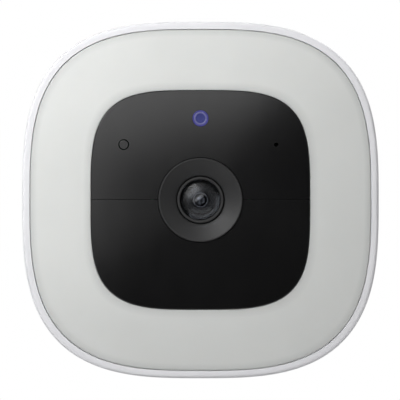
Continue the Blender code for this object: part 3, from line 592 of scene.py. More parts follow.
WHITE = moulded("white_shell", (0.76, 0.76, 0.785), (0.79, 0.79, 0.81), (0.40, 0.48))
FROSTED = frosted("frosted_diffuser")
GLOSS_BLACK = black_gloss("gloss_black", 0.17, (0.0060, 0.0060, 0.0063))
WINDOW_BLACK = black_gloss("window_black", 0.18, (0.0060, 0.0060, 0.0062))
SATIN_BLACK = moulded(
    "satin_black", (0.024, 0.024, 0.025), (0.030, 0.030, 0.031), (0.36, 0.44), 0.006
)
BEZEL_BLACK = moulded(
    "bezel_black", (0.0205, 0.0205, 0.0210), (0.0260, 0.0260, 0.0265), (0.40, 0.48), 0.005
)
MATTE_BLACK = moulded(
    "matte_black", (0.016, 0.016, 0.017), (0.022, 0.022, 0.023), (0.58, 0.70), 0.010
)
LENS_TONES = ((0.0040, 0.0040, 0.0042), (0.0055, 0.0055, 0.0057))
LENS_BLACK = moulded("lens_black", *LENS_TONES, (0.70, 0.85), 0.004, Specular_IOR_Level=0.12)
REAR_GLASS = black_gloss("rear_lens_glass", 0.12, (0.060, 0.060, 0.062), ior=1.62)
LENS_RIM = moulded("lens_rim_grey", (0.30, 0.30, 0.305), (0.38, 0.38, 0.385), (0.30, 0.40), 0.003)
RUBBER = moulded("grey_rubber", (0.30, 0.30, 0.31), (0.35, 0.35, 0.36), (0.68, 0.80), 0.014)
SEAL = moulded("dark_seal", (0.045, 0.045, 0.047), (0.060, 0.060, 0.062), (0.70, 0.82), 0.010)
CHIP = moulded("chip_black", (0.020, 0.020, 0.021), (0.030, 0.030, 0.030), (0.48, 0.58), 0.006)
CELL_WRAP = moulded("cell_wrap", (0.020, 0.120, 0.300), (0.028, 0.150, 0.350), (0.28, 0.36), 0.004)
STEEL = metal("plated_steel", (0.58, 0.58, 0.59), (0.66, 0.66, 0.66), (0.24, 0.36))
BRASS = metal("brass", (0.72, 0.52, 0.20), (0.80, 0.60, 0.27), (0.22, 0.34))
ALUMINIUM = metal("board_aluminium", (0.78, 0.78, 0.79), (0.84, 0.84, 0.85), (0.34, 0.46))
BOARD = circuit_board("circuit_board")
GLASS = coated_glass("lens_glass", (0.94, 0.96, 1.0))
BLUE_RING = glowing("status_bead_glow", (0.40, 0.40, 1.0), 0.24, gloss=1.0)
BLUE_CORE = glowing("status_core_glow", (0.17, 0.21, 1.0), 0.14, gloss=0.15)
BLUE_SPILL = glowing("status_spill_glow", (0.22, 0.21, 1.0), 0.21, gloss=0.15)


# -------- wall base and ball mount


def wall_base():
    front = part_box("wall_plate")[0].y / MM
    recess = SWIVEL_RADIUS + 0.4
    section = (
        (0.0, 0.0),
        (0.0, PLATE_RADIUS, ROUND, 0.4),
        (front + 1.6, PLATE_RADIUS, ROUND, 1.2),
        (front, PLATE_RADIUS - 2.6, ROUND, 1.6),
        (front, recess, ROUND, 0.25),
        (PLATE_RECESS, recess, ROUND, 0.2),
        (PLATE_RECESS, 0.0),
    )
    plate = made("mount_plate", turned(section, sides=FINE_SIDES), WHITE)
    holes = []
    sink = (
        (front - 1, WALL_SCREW_SINK + 0.4),
        (front + 0.2, WALL_SCREW_SINK),
        (front + 2.2, WALL_SCREW_HOLE),
        (1.0, WALL_SCREW_HOLE),
    )
    for degrees in WALL_SCREW_TURNS:
        holes.append(turned(sink, polar(WALL_SCREW_CIRCLE, degrees), SMALL_SIDES))
    carve(plate, holes)
    piece(plate, "wall_base", "white_shell", "wall_plate")

    ring_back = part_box("retainer_ring")[1].y / MM
    ring_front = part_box("retainer_ring")[0].y / MM
    section = (
        (ring_back, RETAINER_BORE, ROUND, 0.2),
        (ring_front, RETAINER_BORE, ROUND, 0.5),
        (ring_front, RETAINER_RADIUS - 0.8, ROUND, 0.7),
        (ring_front + 0.8, RETAINER_RADIUS, ROUND, 0.5),
        (ring_back, RETAINER_RADIUS, ROUND, 0.15),
    )
    ring = made("retainer_collar", turned(section, sides=FINE_SIDES, ring=True), WHITE)
    seat = (
        (ring_front - 1, RETAINER_SCREW_SEAT + 0.2),
        (ring_front, RETAINER_SCREW_SEAT + 0.1),
        (ring_front + 0.15, RETAINER_SCREW_SEAT),
        (ring_front + 1.2, RETAINER_SCREW_SEAT),
        (ring_front + 1.2, RETAINER_SCREW_HOLE),
        (ring_back + 1, RETAINER_SCREW_HOLE),
    )
    seats = []
    for number, degrees in enumerate(RETAINER_SCREW_TURNS, start=1):
        spot = polar(RETAINER_SCREW_CIRCLE, degrees)
        seats.append(turned(seat, spot, SMALL_SIDES))
        base_screw(number, spot, ring_front)
    carve(ring, seats)
    piece(ring, "wall_base", "white_shell", "retainer_ring")


def base_screw(number, spot, ring_front):
    """A small cross-head screw that holds the retainer ring to the wall plate."""
    top = ring_front - 0.1
    seat = ring_front + 0.9
    tip = -1.6
    section = (
        (top, 0.0),
        (top, RETAINER_SCREW_HEAD, ROUND, 0.5),
        (seat, RETAINER_SCREW_HEAD, ROUND, 0.1),
        (seat, RETAINER_SCREW_SHANK),
        (tip, RETAINER_SCREW_SHANK),
        (tip, 0.0),
    )
    screw = made(f"collar_screw_{number}", turned(section, spot, SMALL_SIDES), STEEL)
    carve(screw, [cross_slot(spot, top, length=1.9, width=0.42, depth=0.5)])
    piece(screw, "wall_base", "steel", f"retainer_screw_{number}")


def cross_slot(spot, top, length, width, depth):
    """The cross recess of a screw head, cut from its top."""
    shape = bmesh.new()
    bars = []
    for size in ((length, width), (width, length)):
        x_span = centred(spot[0], size[0])
        z_span = centred(spot[1], size[1])
        bars.append(slab(x_span, (top - 1.0, top + depth), z_span))
    first = made("slot", bars[0], STEEL)
    carve(first, [bars[1]], "UNION")
    shape.from_mesh(first.data)
    bpy.data.objects.remove(first)
    bmesh.ops.scale(shape, vec=(1 / MM,) * 3, verts=shape.verts)
    return shape


def on_ball(radius, angle):
    """A section point on a sphere round the ball's centre, by the angle from the -Y direction."""
    return BALL_Y - radius * math.cos(angle), abs(radius * math.sin(angle))


def ball_line(radius, first, last, steps):
    """Section points on a sphere round the ball's centre, between two angles in degrees."""
    found = []
    for step in range(steps + 1):
        found.append(on_ball(radius, math.radians(first + (last - first) * step / steps)))
    return found


def swivel_arm():
    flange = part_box("swivel_post")[1].y / MM
    section = (
        (flange, 0.0),
        (flange, SWIVEL_RADIUS, ROUND, 0.2),
        (flange - SWIVEL_THICK, SWIVEL_RADIUS, ROUND, 0.3),
        (flange - SWIVEL_THICK, NECK_RADIUS + 1.0, ROUND, 0.6),
        (flange - 3.6, NECK_RADIUS, ROUND, 1.2),
        (BALL_Y + 13.0, NECK_RADIUS, ROUND, 2.4),
        (BALL_Y + 9.8, CUP_RADIUS, ROUND, 1.2),
        (BALL_Y + 0.3, CUP_RADIUS, ROUND, 0.3),
        (BALL_Y + 0.3, SOCKET_RADIUS),
        *ball_line(SOCKET_RADIUS, 94, 179, 24),
        (BALL_Y + SOCKET_RADIUS, 0.0),
    )
    arm = made("swivel_arm", turned(section), WHITE)
    piece(arm, "swivel_arm", "white_shell", "swivel_post")


def knurl(count, depth, low, high, radius):
    """A ripple of straight flutes on this radius between two Y values, fading out at their ends."""

    def change(angle, y, half):
        if abs(half - radius) > 0.01 or not low <= y <= high:
            return 0.0
        fade = min(1.0, (y - low) / 0.7, (high - y) / 0.7)
        return -depth * fade * (0.5 - 0.5 * math.cos(count * angle)) ** 2

    return change


def thread(pitch, depth, radius):
    """A ripple that cuts a helical thread on this radius."""

    def change(angle, y, half):
        if abs(half - radius) > 0.01:
            return 0.0
        turn = (y / pitch - angle / math.tau) % 1.0
        return -depth * abs(2 * turn - 1)

    return change


def clamp_collar():
    back = BALL_Y + 8.5
    rows = [(back - 0.3 * step, LOCK_RING_RADIUS) for step in range(3, 32)]
    mouth = math.radians(LOCK_LIP_ANGLE)
    lip = LOCK_RING_FRONT - 0.1
    section = (
        (back, LOCK_RING_BORE, ROUND, 0.3),
        (BALL_Y - 0.5, LOCK_RING_BORE, ROUND, 0.2),
        *ball_line(SOCKET_RADIUS, 84, LOCK_LIP_ANGLE + 0.5, 8),
        (*on_ball(SOCKET_RADIUS, mouth), ROUND, 0.1),
        (*on_ball(lip, mouth), ROUND, 0.5),
        *ball_line(LOCK_RING_FRONT, 61, 80, 8),
        *reversed(rows),
        (BALL_Y + 8.1, LOCK_RING_RADIUS - 0.2, ROUND, 0.3),
        (back, LOCK_RING_RADIUS - 0.8, ROUND, 0.3),
    )
    ripple = knurl(32, 0.5, BALL_Y - 0.8, BALL_Y + 7.6, LOCK_RING_RADIUS)
    shape = turned(section, sides=FINE_SIDES * 2, ring=True, ripple=ripple)
    collar = made("clamp_collar", shape, SATIN_BLACK)
    piece(collar, "clamp_collar", "satin_black", "lock_ring")


def ball_and_stud():
    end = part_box("ball_stud")[0].y / MM
    neck_angle = math.degrees(math.asin(STUD_NECK / BALL_RADIUS))
    thread_start = BALL_Y - 10.0
    row_count = int((thread_start - end) / 0.1) - 6
    turns = [(thread_start - 0.1 * step, STUD_RADIUS) for step in range(1, row_count)]
    section = (
        *ball_line(BALL_RADIUS, 180, neck_angle, 40),
        (BALL_Y - BALL_RADIUS - 0.4, STUD_NECK),
        (BALL_Y - 9.5, STUD_NECK, ROUND, 0.2),
        (thread_start, STUD_RADIUS - 0.15, ROUND, 0.1),
        *turns,
        (end + 0.5, STUD_RADIUS - 0.35, ROUND, 0.2),
        (end, 2.2, ROUND, 0.2),
        (end, 0.0),
    )
    shape = turned(section, ripple=thread(STUD_THREAD, 0.5, STUD_RADIUS))
    stud = made("ball_and_stud", shape, STEEL)
    piece(stud, "ball", "steel", "ball_stud")

    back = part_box("jam_nut")[1].y / MM
    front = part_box("jam_nut")[0].y / MM
    rows = [(back - 0.9 - 0.2 * step, NUT_RADIUS) for step in range(17)]
    section = (
        (back, NUT_BORE, ROUND, 0.3),
        (back, NUT_END, ROUND, 0.4),
        (back - 0.6, NUT_RADIUS - 0.3, ROUND, 0.4),
        *rows,
        (front + 0.6, NUT_RADIUS - 0.3, ROUND, 0.4),
        (front, NUT_END, ROUND, 0.4),
        (front, NUT_BORE, ROUND, 0.3),
    )
    ripple = knurl(24, 0.45, front + 0.7, back - 0.7, NUT_RADIUS)
    nut = made("thumb_nut", turned(section, sides=FINE_SIDES, ring=True, ripple=ripple), SATIN_BLACK)
    piece(nut, "thumb_nut", "satin_black", "jam_nut")


# -------- head: shell and light


def bowl(steps, back_depth, side_half):
    """Sections of the bowl from its straight side to its flat back."""
    found = []
    for step in range(steps + 1):
        turn = math.radians(90.0 * step / steps)
        depth = SIDE_DEPTH + (back_depth - SIDE_DEPTH) * math.sin(turn)
        half = BACK_HALF + (side_half - BACK_HALF) * math.cos(turn)
        power = HEAD_POWER + (BACK_POWER - HEAD_POWER) * math.sin(turn)
        found.append((depth, half, power))
    return found


def shell():
    rim = SEAM_HALF + SEAM_GAP
    socket = HEAD_DEPTH - INSERT_LENGTH - GAP
    outside = [
        (socket, 0.0),
        (socket, INSERT_RADIUS + GAP),
        (HEAD_DEPTH, INSERT_RADIUS + GAP, ROUND, 0.3),
        (HEAD_DEPTH, 11.0),
        (HEAD_DEPTH, 18.0, 2.3),
        *reversed(bowl(28, HEAD_DEPTH, HEAD_HALF)),
        (10.0, HEAD_HALF, HEAD_POWER),
        (7.0, HEAD_HALF, HEAD_POWER),
        (4.0, HEAD_HALF - 0.02, HEAD_POWER),
        (3.3, HEAD_HALF - 0.09, HEAD_POWER),
        (2.85, HEAD_HALF - 0.22, HEAD_POWER),
        (2.6, HEAD_HALF - 0.40, SEAM_POWER),
        (2.46, HEAD_HALF - 0.62, SEAM_POWER),
        (2.4, HEAD_HALF - 0.9, SEAM_POWER),
        (2.4, HEAD_HALF - 1.3, SEAM_POWER),
        (2.4, rim + 0.2, SEAM_POWER),
        (2.4, rim, SEAM_POWER, 0.08),
    ]
    inside = [
        (LEDGE_DEPTH, rim, SEAM_POWER),
        (LEDGE_DEPTH, LEDGE_HALF, SEAM_POWER),
        (LEDGE_DEPTH + 2.0, LEDGE_HALF, SEAM_POWER),
        (LEDGE_DEPTH + 3.5, HEAD_HALF - WALL, HEAD_POWER),
        *bowl(14, HEAD_DEPTH - BACK_WALL, HEAD_HALF - WALL),
        (HEAD_DEPTH - BACK_WALL, INSERT_RADIUS + GAP + 3.0),
        (socket - 2.0, INSERT_RADIUS + GAP + 3.0),
        (socket - 2.0, 0.0),
    ]
    housing = made("housing_shell", turned(in_head(outside + inside), sides=FINE_SIDES), WHITE)
    pillars = []
    for x, z in four_corners(CASE_SCREW_AT):
        pillars.append(rod(PILLAR_RADIUS, TRAY_FLOOR + 4.2, PILLAR_BACK, (x, z)))
    carve(housing, pillars, "UNION")

    back = HEAD_BACK_Y
    cover = (COVER_SIZE[0] + 2 * GAP, COVER_SIZE[1] + 2 * GAP)
    port = (PORT_SIZE[0] + 2.2, PORT_SIZE[1] + 2.2)
    opening = BUTTON_RADIUS + GAP
    chamfer = 0.25
    button = (
        (back - 4, opening),
        (back - chamfer, opening),
        (back, opening + chamfer),
        (back + 1, opening + chamfer),
    )
    tools = [turned(button, BUTTON_AT, SMALL_SIDES)]
    for x, z in four_corners(CASE_SCREW_AT):
        tools.append(rod(CASE_SCREW_HOLE, TRAY_FLOOR + 3, 26.0, (x, z)))
    carve(housing, tools)
    carve(housing, [pill(USB_AT, cover, back - 1.6, back, chamfer=0.2, corner=1.6)])
    carve(housing, [pill(USB_AT, port, back - 4, back - 1.2)])
    carve(housing, grille_holes())
    piece(housing, "camera_head", "white_shell", "rear_housing")

    sleeve = (
        (HEAD_DEPTH - INSERT_LENGTH, INSERT_BORE),
        (HEAD_DEPTH - INSERT_LENGTH, INSERT_RADIUS),
        (HEAD_DEPTH, INSERT_RADIUS, ROUND, 0.25),
        (HEAD_DEPTH, INSERT_BORE + 0.35, ROUND, 0.2),
        (HEAD_DEPTH - 0.5, INSERT_BORE),
    )
    insert = made("threaded_insert", turned(in_head(sleeve), ring=True), BRASS)
    piece(insert, "camera_head", "brass", "mount_insert")


def grille_holes():
    """Short cylinders along Z through the underside, on a grid of three rows of five."""
    holes = []
    for row in (-1, 0, 1):
        for column in range(-2, 3):
            hole = bmesh.new()
            bmesh.ops.create_cone(hole, cap_ends=True, segments=24, radius1=0.8, radius2=0.8, depth=8.0)
            y = face_y(SPEAKER_DEPTH + row * GRILLE_PITCH)
            spot = (column * GRILLE_PITCH, y, -HEAD_HALF + WALL)
            bmesh.ops.translate(hole, vec=spot, verts=hole.verts)
            holes.append(hole)
    return holes


def diffuser():
    outer = SEAM_HALF
    inner = PANEL_HALF + FINE_GAP / 2
    front = []
    under = []
    steps = 24
    for step in range(steps + 1):
        across = step / steps
        half = inner + (outer - inner) * across
        power = PANEL_POWER + (SEAM_POWER - PANEL_POWER) * across
        depth = PANEL_CROWN + 0.1 + DIFFUSER_CROWN * across**DIFFUSER_SWEEP
        radius = 0.1 if step == 0 else 0.5 if step == steps else 0.0
        front.append((depth, half, power, radius))
        if 0 < step < steps - 2 and step % 3 == 0:
            under.append((depth + DIFFUSER_THICK, half, power, 0.0))
    lip = (
        (4.3, outer, SEAM_POWER, 0.2),
        (4.3, outer - 1.4, SEAM_POWER, 0.0),
        (3.9, outer - 1.6, SEAM_POWER, 0.0),
    )
    edge = ((front[0][0] + DIFFUSER_THICK, inner, PANEL_POWER, 0.0),)
    line = [*front, *lip, *reversed(under), *edge]
    ring = made("diffuser_ring", turned(in_head(line), sides=FINE_SIDES, ring=True), FROSTED)
    piece(ring, "camera_head", "frosted_diffuser", "light_diffuser")


# -------- head: black face


def face_half(name, side, material):
    """The black face's upper half for side 1, or its lower half for side -1."""
    edge = PANEL_HALF - FINE_GAP / 2
    outline = [(0.0, 0.0)]
    steps = 20
    for step in range(1, steps + 1):
        ring = (edge - 0.15) * step / steps
        outline.append((face_depth(ring, 0.0), ring, PANEL_POWER, 0.0))
    outline += [
        (PANEL_CROWN + 0.12, edge, PANEL_POWER, 0.1),
        (PANEL_BACK, edge, PANEL_POWER, 0.0),
        (PANEL_BACK, 0.0),
    ]
    half = made(name, turned(in_head(outline), sides=FINE_SIDES), material)
    reach = PANEL_HALF + 5
    z_span = sorted((SPLIT_Z + side * FINE_GAP / 2, -side * reach))
    carve(half, [slab((-reach, reach), (face_y(-5), face_y(6)), z_span)])
    carve(half, [rod(BEZEL_RADIUS + 0.2, -4, 5, (0.0, 0.0), FINE_SIDES)])
    return half


def drill(spot, radius, chamfer):
    """A hole right through the face, with its edge broken."""
    top = face_depth(*spot)
    line = (
        (top - 2, 0.0),
        (top - 2, radius + chamfer * 2),
        (top, radius + chamfer),
        (top + chamfer, radius),
        (4.5, radius),
        (4.5, 0.0),
    )
    return turned(in_head(line), spot, SMALL_SIDES)


def black_face():
    upper = face_half("face_upper", 1, GLOSS_BLACK)
    carve(
        upper,
        [
            drill(STATUS_AT, STATUS_RADIUS + 0.42, 0.06),
            drill(LIGHT_SENSOR_AT, LIGHT_SENSOR_RADIUS + 0.28, 0.06),
            drill(MICROPHONE_AT, MICROPHONE_HOLE, 0.08),
        ],
    )
    soften(upper, 0.12)
    piece(upper, "camera_head", "gloss_black", "faceplate_upper")
    lower = face_half("face_lower", -1, WINDOW_BLACK)
    soften(lower, 0.12)
    piece(lower, "camera_head", "gloss_black", "pir_window")

    window = (
        (0.05, 0.0),
        (0.05, LIGHT_SENSOR_RADIUS * 0.5),
        (0.05, LIGHT_SENSOR_RADIUS - 0.1),
        (0.12, LIGHT_SENSOR_RADIUS),
        (PANEL_BACK - 1.0, LIGHT_SENSOR_RADIUS),
        (PANEL_BACK - 1.0, 0.0),
    )
    shape = turned(in_head(window), LIGHT_SENSOR_AT, SMALL_SIDES)
    lay_on_face(shape)
    eye = made("light_sensor_eye", shape, GLOSS_BLACK)
    piece(eye, "camera_head", "satin_black", "light_sensor_window")
    status_light()


def lay_on_face(shape):
    """Shifts each point of a shape in millimetres back by the face's own depth there."""
    for vert in shape.verts:
        vert.co.y += face_depth(vert.co.x, vert.co.z)


def soften(obj, width):
    """A narrow rounded edge along the sharp outer edges of a cut piece."""
    bevel = obj.modifiers.new("edge", "BEVEL")
    bevel.width = width * MM
    bevel.segments = 2
    bevel.limit_method = "ANGLE"
    bevel.angle_limit = math.radians(60)
    bevel.harden_normals = True


def status_light():
    """A rounded glowing bead round a dim blue middle, with light spilling just outside it."""
    top = face_depth(*STATUS_AT)
    inner = STATUS_RADIUS - 0.50
    bead = STATUS_RADIUS - 0.04
    spill = STATUS_RADIUS + 0.38
    for name, near, far, height, material in (
        ("status_bead", inner, bead, 0.0, BLUE_RING),
        ("status_spill", bead + 0.01, spill, 0.05, BLUE_SPILL),
    ):
        line = (
            (top + height + 0.22, near),
            (top + height, near, ROUND, 0.16),
            (top + height, far, ROUND, 0.16),
            (top + height + 0.22, far),
            (3.4, far),
            (3.4, near),
        )
        glow = made(name, turned(in_head(line), STATUS_AT, SMALL_SIDES, ring=True), material)
        piece(glow, "camera_head", "blue_light", "status_light_pipe")
    core = ((top + 0.16, 0.0), (top + 0.16, inner - 0.01), (3.4, inner - 0.01), (3.4, 0.0))
    middle = made("status_core", turned(in_head(core), STATUS_AT, SMALL_SIDES), BLUE_CORE)
    piece(middle, "camera_head", "blue_light", "status_light_pipe")


def bezel():
    flange = PANEL_BACK + GAP
    line = (
        (3.0, BEZEL_THROAT, ROUND, 0.15),
        (-0.20, BEZEL_RADIUS - 0.65, ROUND, 0.15),
        (-0.40, BEZEL_RADIUS - 0.45, ROUND, 0.1),
        (-0.40, BEZEL_RADIUS - 0.12, ROUND, 0.12),
        (0.0, BEZEL_RADIUS),
        (flange, BEZEL_RADIUS),
        (flange, BEZEL_RADIUS + 1.4),
        (flange + 1.2, BEZEL_RADIUS + 1.4),
        (flange + 1.2, BEZEL_RADIUS - 1.0),
        (flange + 1.5, BEZEL_THROAT + 0.9),
        (flange + 1.5, BEZEL_THROAT),
    )
    ring = made("bezel_ring", turned(in_head(line), sides=FINE_SIDES, ring=True), BEZEL_BLACK)
    piece(ring, "camera_head", "satin_black", "lens_bezel")

    trim = (
        (3.10, LENS_RADIUS + 0.14, ROUND, 0.1),
        (2.62, LENS_RADIUS + 0.34, ROUND, 0.12),
        (2.62, TRIM_RADIUS - 0.05, ROUND, 0.12),
        (2.9, TRIM_RADIUS + 0.08),
        (4.6, TRIM_RADIUS + 0.08),
        (4.6, LENS_RADIUS + 0.14),
    )
    collar = made("trim_ring", turned(in_head(trim), ring=True), BEZEL_BLACK)
    piece(collar, "camera_head", "satin_black", "lens_trim_ring")


# -------- head: lens


def dome(radius, front, edge, steps=20):
    """Depths and half widths along a sphere's cap, from its pole to its edge."""
    rise = edge - front
    sphere = (radius**2 + rise**2) / (2 * rise)
    widest = math.asin(radius / sphere)
    found = []
    for step in range(steps + 1):
        angle = widest * step / steps
        found.append((front + sphere * (1 - math.cos(angle)), sphere * math.sin(angle)))
    return found


def lens():
    outer = [*dome(LENS_RADIUS, LENS_POLE, LENS_EDGE), (LENS_EDGE + 0.6, LENS_RADIUS)]
    hollow = dome(LENS_RADIUS - 1.3, LENS_POLE + 0.2, LENS_EDGE - 0.3)
    inner = [(depth + LENS_THICK, half) for depth, half in hollow]
    line = outer + list(reversed(inner))
    front = made("front_glass", turned(in_head(line)), GLASS)
    piece(front, "camera_head", "lens_glass", "front_lens")

    baffle = (
        (3.7, LENS_RADIUS),
        (3.7, LENS_RADIUS - 0.5),
        (4.5, 3.6),
        (BARREL_FRONT, 2.3),
        (5.6, 2.1),
        (BARREL_BACK, 3.2),
        (BARREL_BACK, BARREL_RADIUS),
        (BARREL_FRONT, BARREL_RADIUS),
        (BARREL_FRONT, LENS_RADIUS),
    )
    barrel = made("lens_tunnel", turned(in_head(baffle), ring=True), LENS_BLACK)
    piece(barrel, "camera_head", "matte_black", "lens_barrel")

    iris = (
        (BARREL_FRONT, IRIS_BORE, ROUND, 0.03),
        (BARREL_FRONT - 0.10, IRIS_BORE + 0.07, ROUND, 0.05),
        (BARREL_FRONT - 0.02, IRIS_BORE + 0.18, ROUND, 0.03),
        (5.50, IRIS_BORE + 0.18),
        (5.50, IRIS_BORE),
    )
    rim = made("inner_lens_rim", turned(in_head(iris), ring=True, sides=SMALL_SIDES), LENS_RIM)
    piece(rim, "camera_head", "matte_black", "lens_barrel")
    second = [*dome(REAR_LENS_RADIUS, 5.0, 5.9, 12), (8.2, REAR_LENS_RADIUS), (8.2, 0.0)]
    rear = made("rear_glass", turned(in_head(second), sides=SMALL_SIDES), REAR_GLASS)
    piece(rear, "camera_head", "lens_glass", "rear_lens")


# -------- head: back


def port_cover():
    x, z = USB_AT
    back = HEAD_BACK_Y
    plate = pill((x, z), COVER_SIZE, back - 1.3, back + 0.1, corner=1.4)
    cover = made("port_flap", plate, RUBBER)
    plug = pill((x, z), (PORT_SIZE[0] + 0.9, PORT_SIZE[1] + 0.7), back - 1.9, back - 1.0)
    pull = pill((x, z + 3.1), (6.0, 1.0), back - 0.2, back + 0.7)
    carve(cover, [plug], "UNION")
    carve(cover, [pull], "UNION")
    soften(cover, 0.2)
    piece(cover, "port_cover", "grey_rubber", "usb_cover")


def pairing_button():
    back = HEAD_DEPTH
    under = HEAD_DEPTH - BACK_WALL
    line = (
        (back + 0.66, 0.0),
        (back + 0.70, 1.4, ROUND, 0.3),
        (back + 0.80, 1.9, ROUND, 0.3),
        (back + 0.80, BUTTON_RADIUS, ROUND, 0.45),
        (under - GAP, BUTTON_RADIUS),
        (under - GAP, BUTTON_RADIUS + 1.1),
        (under - GAP - 0.8, BUTTON_RADIUS + 1.1),
        (under - GAP - 0.8, 1.3),
        (52.3, 1.3),
        (52.3, 0.0),
    )
    button = made("pairing_button", turned(in_head(line), BUTTON_AT, SMALL_SIDES), RUBBER)
    piece(button, "pairing_button", "grey_rubber", "sync_button")


def charging_port():
    x, z = USB_AT
    outline = pill(USB_AT, PORT_SIZE, face_y(PORT_FRONT), face_y(PORT_BACK), corner=1.55)
    body = made("port_shell", outline, STEEL)
    mouth = (PORT_SIZE[0] - 0.7, PORT_SIZE[1] - 0.7)
    carve(body, [pill(USB_AT, mouth, face_y(PORT_FLOOR), face_y(57), corner=1.2)])
    piece(body, "camera_head", "steel", "usb_port")
    depths = (face_y(PORT_FLOOR + 0.1), face_y(54.6))
    blade = slab(centred(x, 6.6), depths, centred(z, 0.7), edge=0.15)
    tongue = made("port_tongue", blade, CHIP)
    piece(tongue, "camera_head", "chip_black", "usb_port")


# -------- finishes of the nodes that stay

FINISHES = {
    SEAL: ("friction_washer", "front_gasket"),
    WHITE: ("reflector_tray",),
    ALUMINIUM: ("led_board",),
    MATTE_BLACK: (
        *("mid_frame", "lens_holder", "ir_cut_filter"),
        *("battery_holder", "speaker", "antenna_cable"),
    ),
    STEEL: (
        *(f"case_screw_{number}" for number in range(1, 5)),
        *("pir_sensor", "soc_shield", "battery_strip_left", "battery_strip_right"),
    ),
    BOARD: ("sensor_board", "pir_board", "main_board", "camera_board", "usb_board"),
    # Painted shade: the microphone under its small hole takes the near-black lens finish, so the hole
    # shows as dark as the shade in it
    LENS_BLACK: ("microphone",),
    CHIP: (
        *("image_sensor", "status_led", "ambient_light_sensor"),
        *("ir_led_1", "ir_led_2", "sync_switch"),
    ),
    CELL_WRAP: ("battery_cell_1", "battery_cell_2", "battery_cell_3"),
    BRASS: ("wifi_antenna",),
}


def inner_finishes():
    for material, names in FINISHES.items():
        for name in names:
            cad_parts[name].material_slots[0].material = material


# -------- studio


def sky_part(tree, value, low, high, radiance):
    """One smooth part of the sky's radiance, rising from nothing at low to all of it at high."""
    span = tree.nodes.new("ShaderNodeMapRange")
    span.interpolation_type = "SMOOTHSTEP"
    span.inputs["From Min"].default_value = low
    span.inputs["From Max"].default_value = high
    span.inputs["To Min"].default_value = 0.0
    span.inputs["To Max"].default_value = radiance
    tree.links.new(value, span.inputs["Value"])
    return span.outputs["Result"]


def total(tree, first, second):
    """The sum of two parts of the sky."""
    plus = tree.nodes.new("ShaderNodeMath")
    plus.operation = "ADD"
    tree.links.new(first, plus.inputs[0])
    tree.links.new(second, plus.inputs[1])
    return plus.outputs["Value"]


def studio():
    """A white backdrop for the camera's own rays, a soft sky for all others, and the floor."""
    world = bpy.data.worlds.new("studio")
    bpy.context.scene.world = world
    world.use_nodes = True
    tree = world.node_tree
    tree.nodes.clear()
    new = tree.nodes.new
    link = tree.links.new
    direction = new("ShaderNodeTexCoord").outputs["Generated"]
    split = new("ShaderNodeSeparateXYZ")
    link(direction, split.inputs["Vector"])
    along = new("ShaderNodeVectorMath")
    along.operation = "DOT_PRODUCT"
    along.inputs[1].default_value = Vector(KEY_DIRECTION).normalized()
    link(direction, along.inputs[0])
    front = sky_part(tree, split.outputs["Y"], -0.97, -0.50, WORLD_FRONT)
    back = sky_part(tree, split.outputs["Y"], 0.20, 0.80, WORLD_BACK)
    key = sky_part(tree, along.outputs["Value"], 0.62, 0.98, WORLD_KEY)
    lit = new("ShaderNodeBackground")
    link(total(tree, total(tree, front, back), key), lit.inputs["Strength"])
    seen = new("ShaderNodeBackground")
    seen.inputs["Color"].default_value = (1.0, 1.0, 1.0, 1.0)
    mix = new("ShaderNodeMixShader")
    path = new("ShaderNodeLightPath")
    out = new("ShaderNodeOutputWorld")
    link(path.outputs["Is Camera Ray"], mix.inputs["Fac"])
    link(lit.outputs["Background"], mix.inputs[1])
    link(seen.outputs["Background"], mix.inputs[2])
    link(mix.outputs["Shader"], out.inputs["Surface"])

    paper = Nodes("floor_paper")
    paper.colour(paper.blend(paper.noise(4.0), (0.88, 0.88, 0.88), (0.90, 0.90, 0.90)))
    paper.roughness(paper.between(paper.noise(60.0), 0.85, 0.95))
    sheet = bmesh.new()
    bmesh.ops.create_grid(sheet, x_segments=2, y_segments=2, size=3000.0)
    bmesh.ops.translate(sheet, vec=(0.0, 0.0, FLOOR_Z), verts=sheet.verts)
    floor = made("floor", sheet, paper.material)


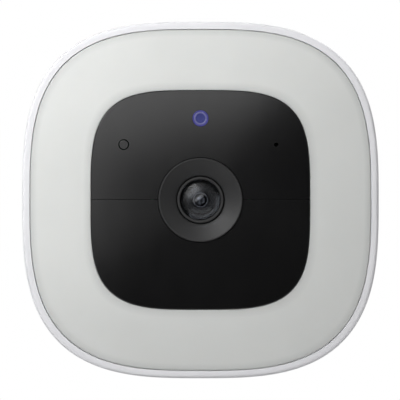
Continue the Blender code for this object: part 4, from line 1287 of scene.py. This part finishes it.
def softbox(name, at, aim, size, brightness, turn=0.0):
    """A rectangular lamp, placed and sized in metres. Its energy grows with its area."""
    data = bpy.data.lights.new(name, "AREA")
    data.shape = "RECTANGLE"
    data.size, data.size_y = size
    data.energy = brightness * math.pi * size[0] * size[1]
    lamp = bpy.data.objects.new(name, data)
    bpy.context.scene.collection.objects.link(lamp)
    look = (Vector(aim) - Vector(at)).to_track_quat("-Z", "Y").to_matrix().to_4x4()
    spin = Matrix.Rotation(math.radians(turn), 4, "Z")
    lamp.matrix_world = Matrix.Translation(at) @ look @ spin
    lamp.visible_camera = False
    return lamp


def camera():
    data = bpy.data.cameras.new("camera")
    data.lens = CAMERA_LENS_MM
    data.sensor_width = SENSOR_MM
    data.clip_start = 0.05
    data.clip_end = 20.0
    eye = bpy.data.objects.new("camera", data)
    bpy.context.scene.collection.objects.link(eye)
    widest = face_y(SIDE_DEPTH - 4.0) * MM
    distance = VIEW_HALF_WIDTH * MM * CAMERA_LENS_MM / (SENSOR_MM / 2)
    eye.location = (CAMERA_X * MM, widest - distance, 0.0)
    eye.rotation_euler = (math.radians(90), 0.0, 0.0)
    bpy.context.scene.camera = eye


bpy.context.scene.view_settings.view_transform = "Standard"
studio()
face_middle = (0.0, FACE_Y * MM, 0.0)
softbox("front_softbox", (-0.274, -2.5, 0.402), face_middle, (2.4, 0.53), FRONT_SOFTBOX, 34)
near_key = softbox("near_key", (-0.136, -0.337, 0.136), face_middle, (0.18, 0.18), NEAR_KEY, 45)
corner_key = softbox("corner_key", (-0.085, -0.185, 0.085), face_middle, (0.07, 0.07), CORNER_KEY)
for lamp in (near_key, corner_key):
    lamp.visible_glossy = False
    lamp.visible_transmission = False
edge_strip = softbox("edge_strip", (-0.62, -0.42, 0.68), face_middle, (0.9, 0.22), EDGE_STRIP, 45)
side_softbox = softbox(
    "side_softbox", (-0.47, -0.78, 0.54), face_middle, (0.9, 0.45), SIDE_SOFTBOX, 45
)
for lamp in (edge_strip, side_softbox):
    lamp.visible_diffuse = False
softbox("rear_softbox", (0.55, 0.95, 0.75), (0.0, -0.05, 0.0), (0.8, 0.8), REAR_SOFTBOX)
camera()

wall_base()
swivel_arm()
clamp_collar()
ball_and_stud()
shell()
diffuser()
black_face()
bezel()
lens()
port_cover()
pairing_button()
charging_port()
inner_finishes()
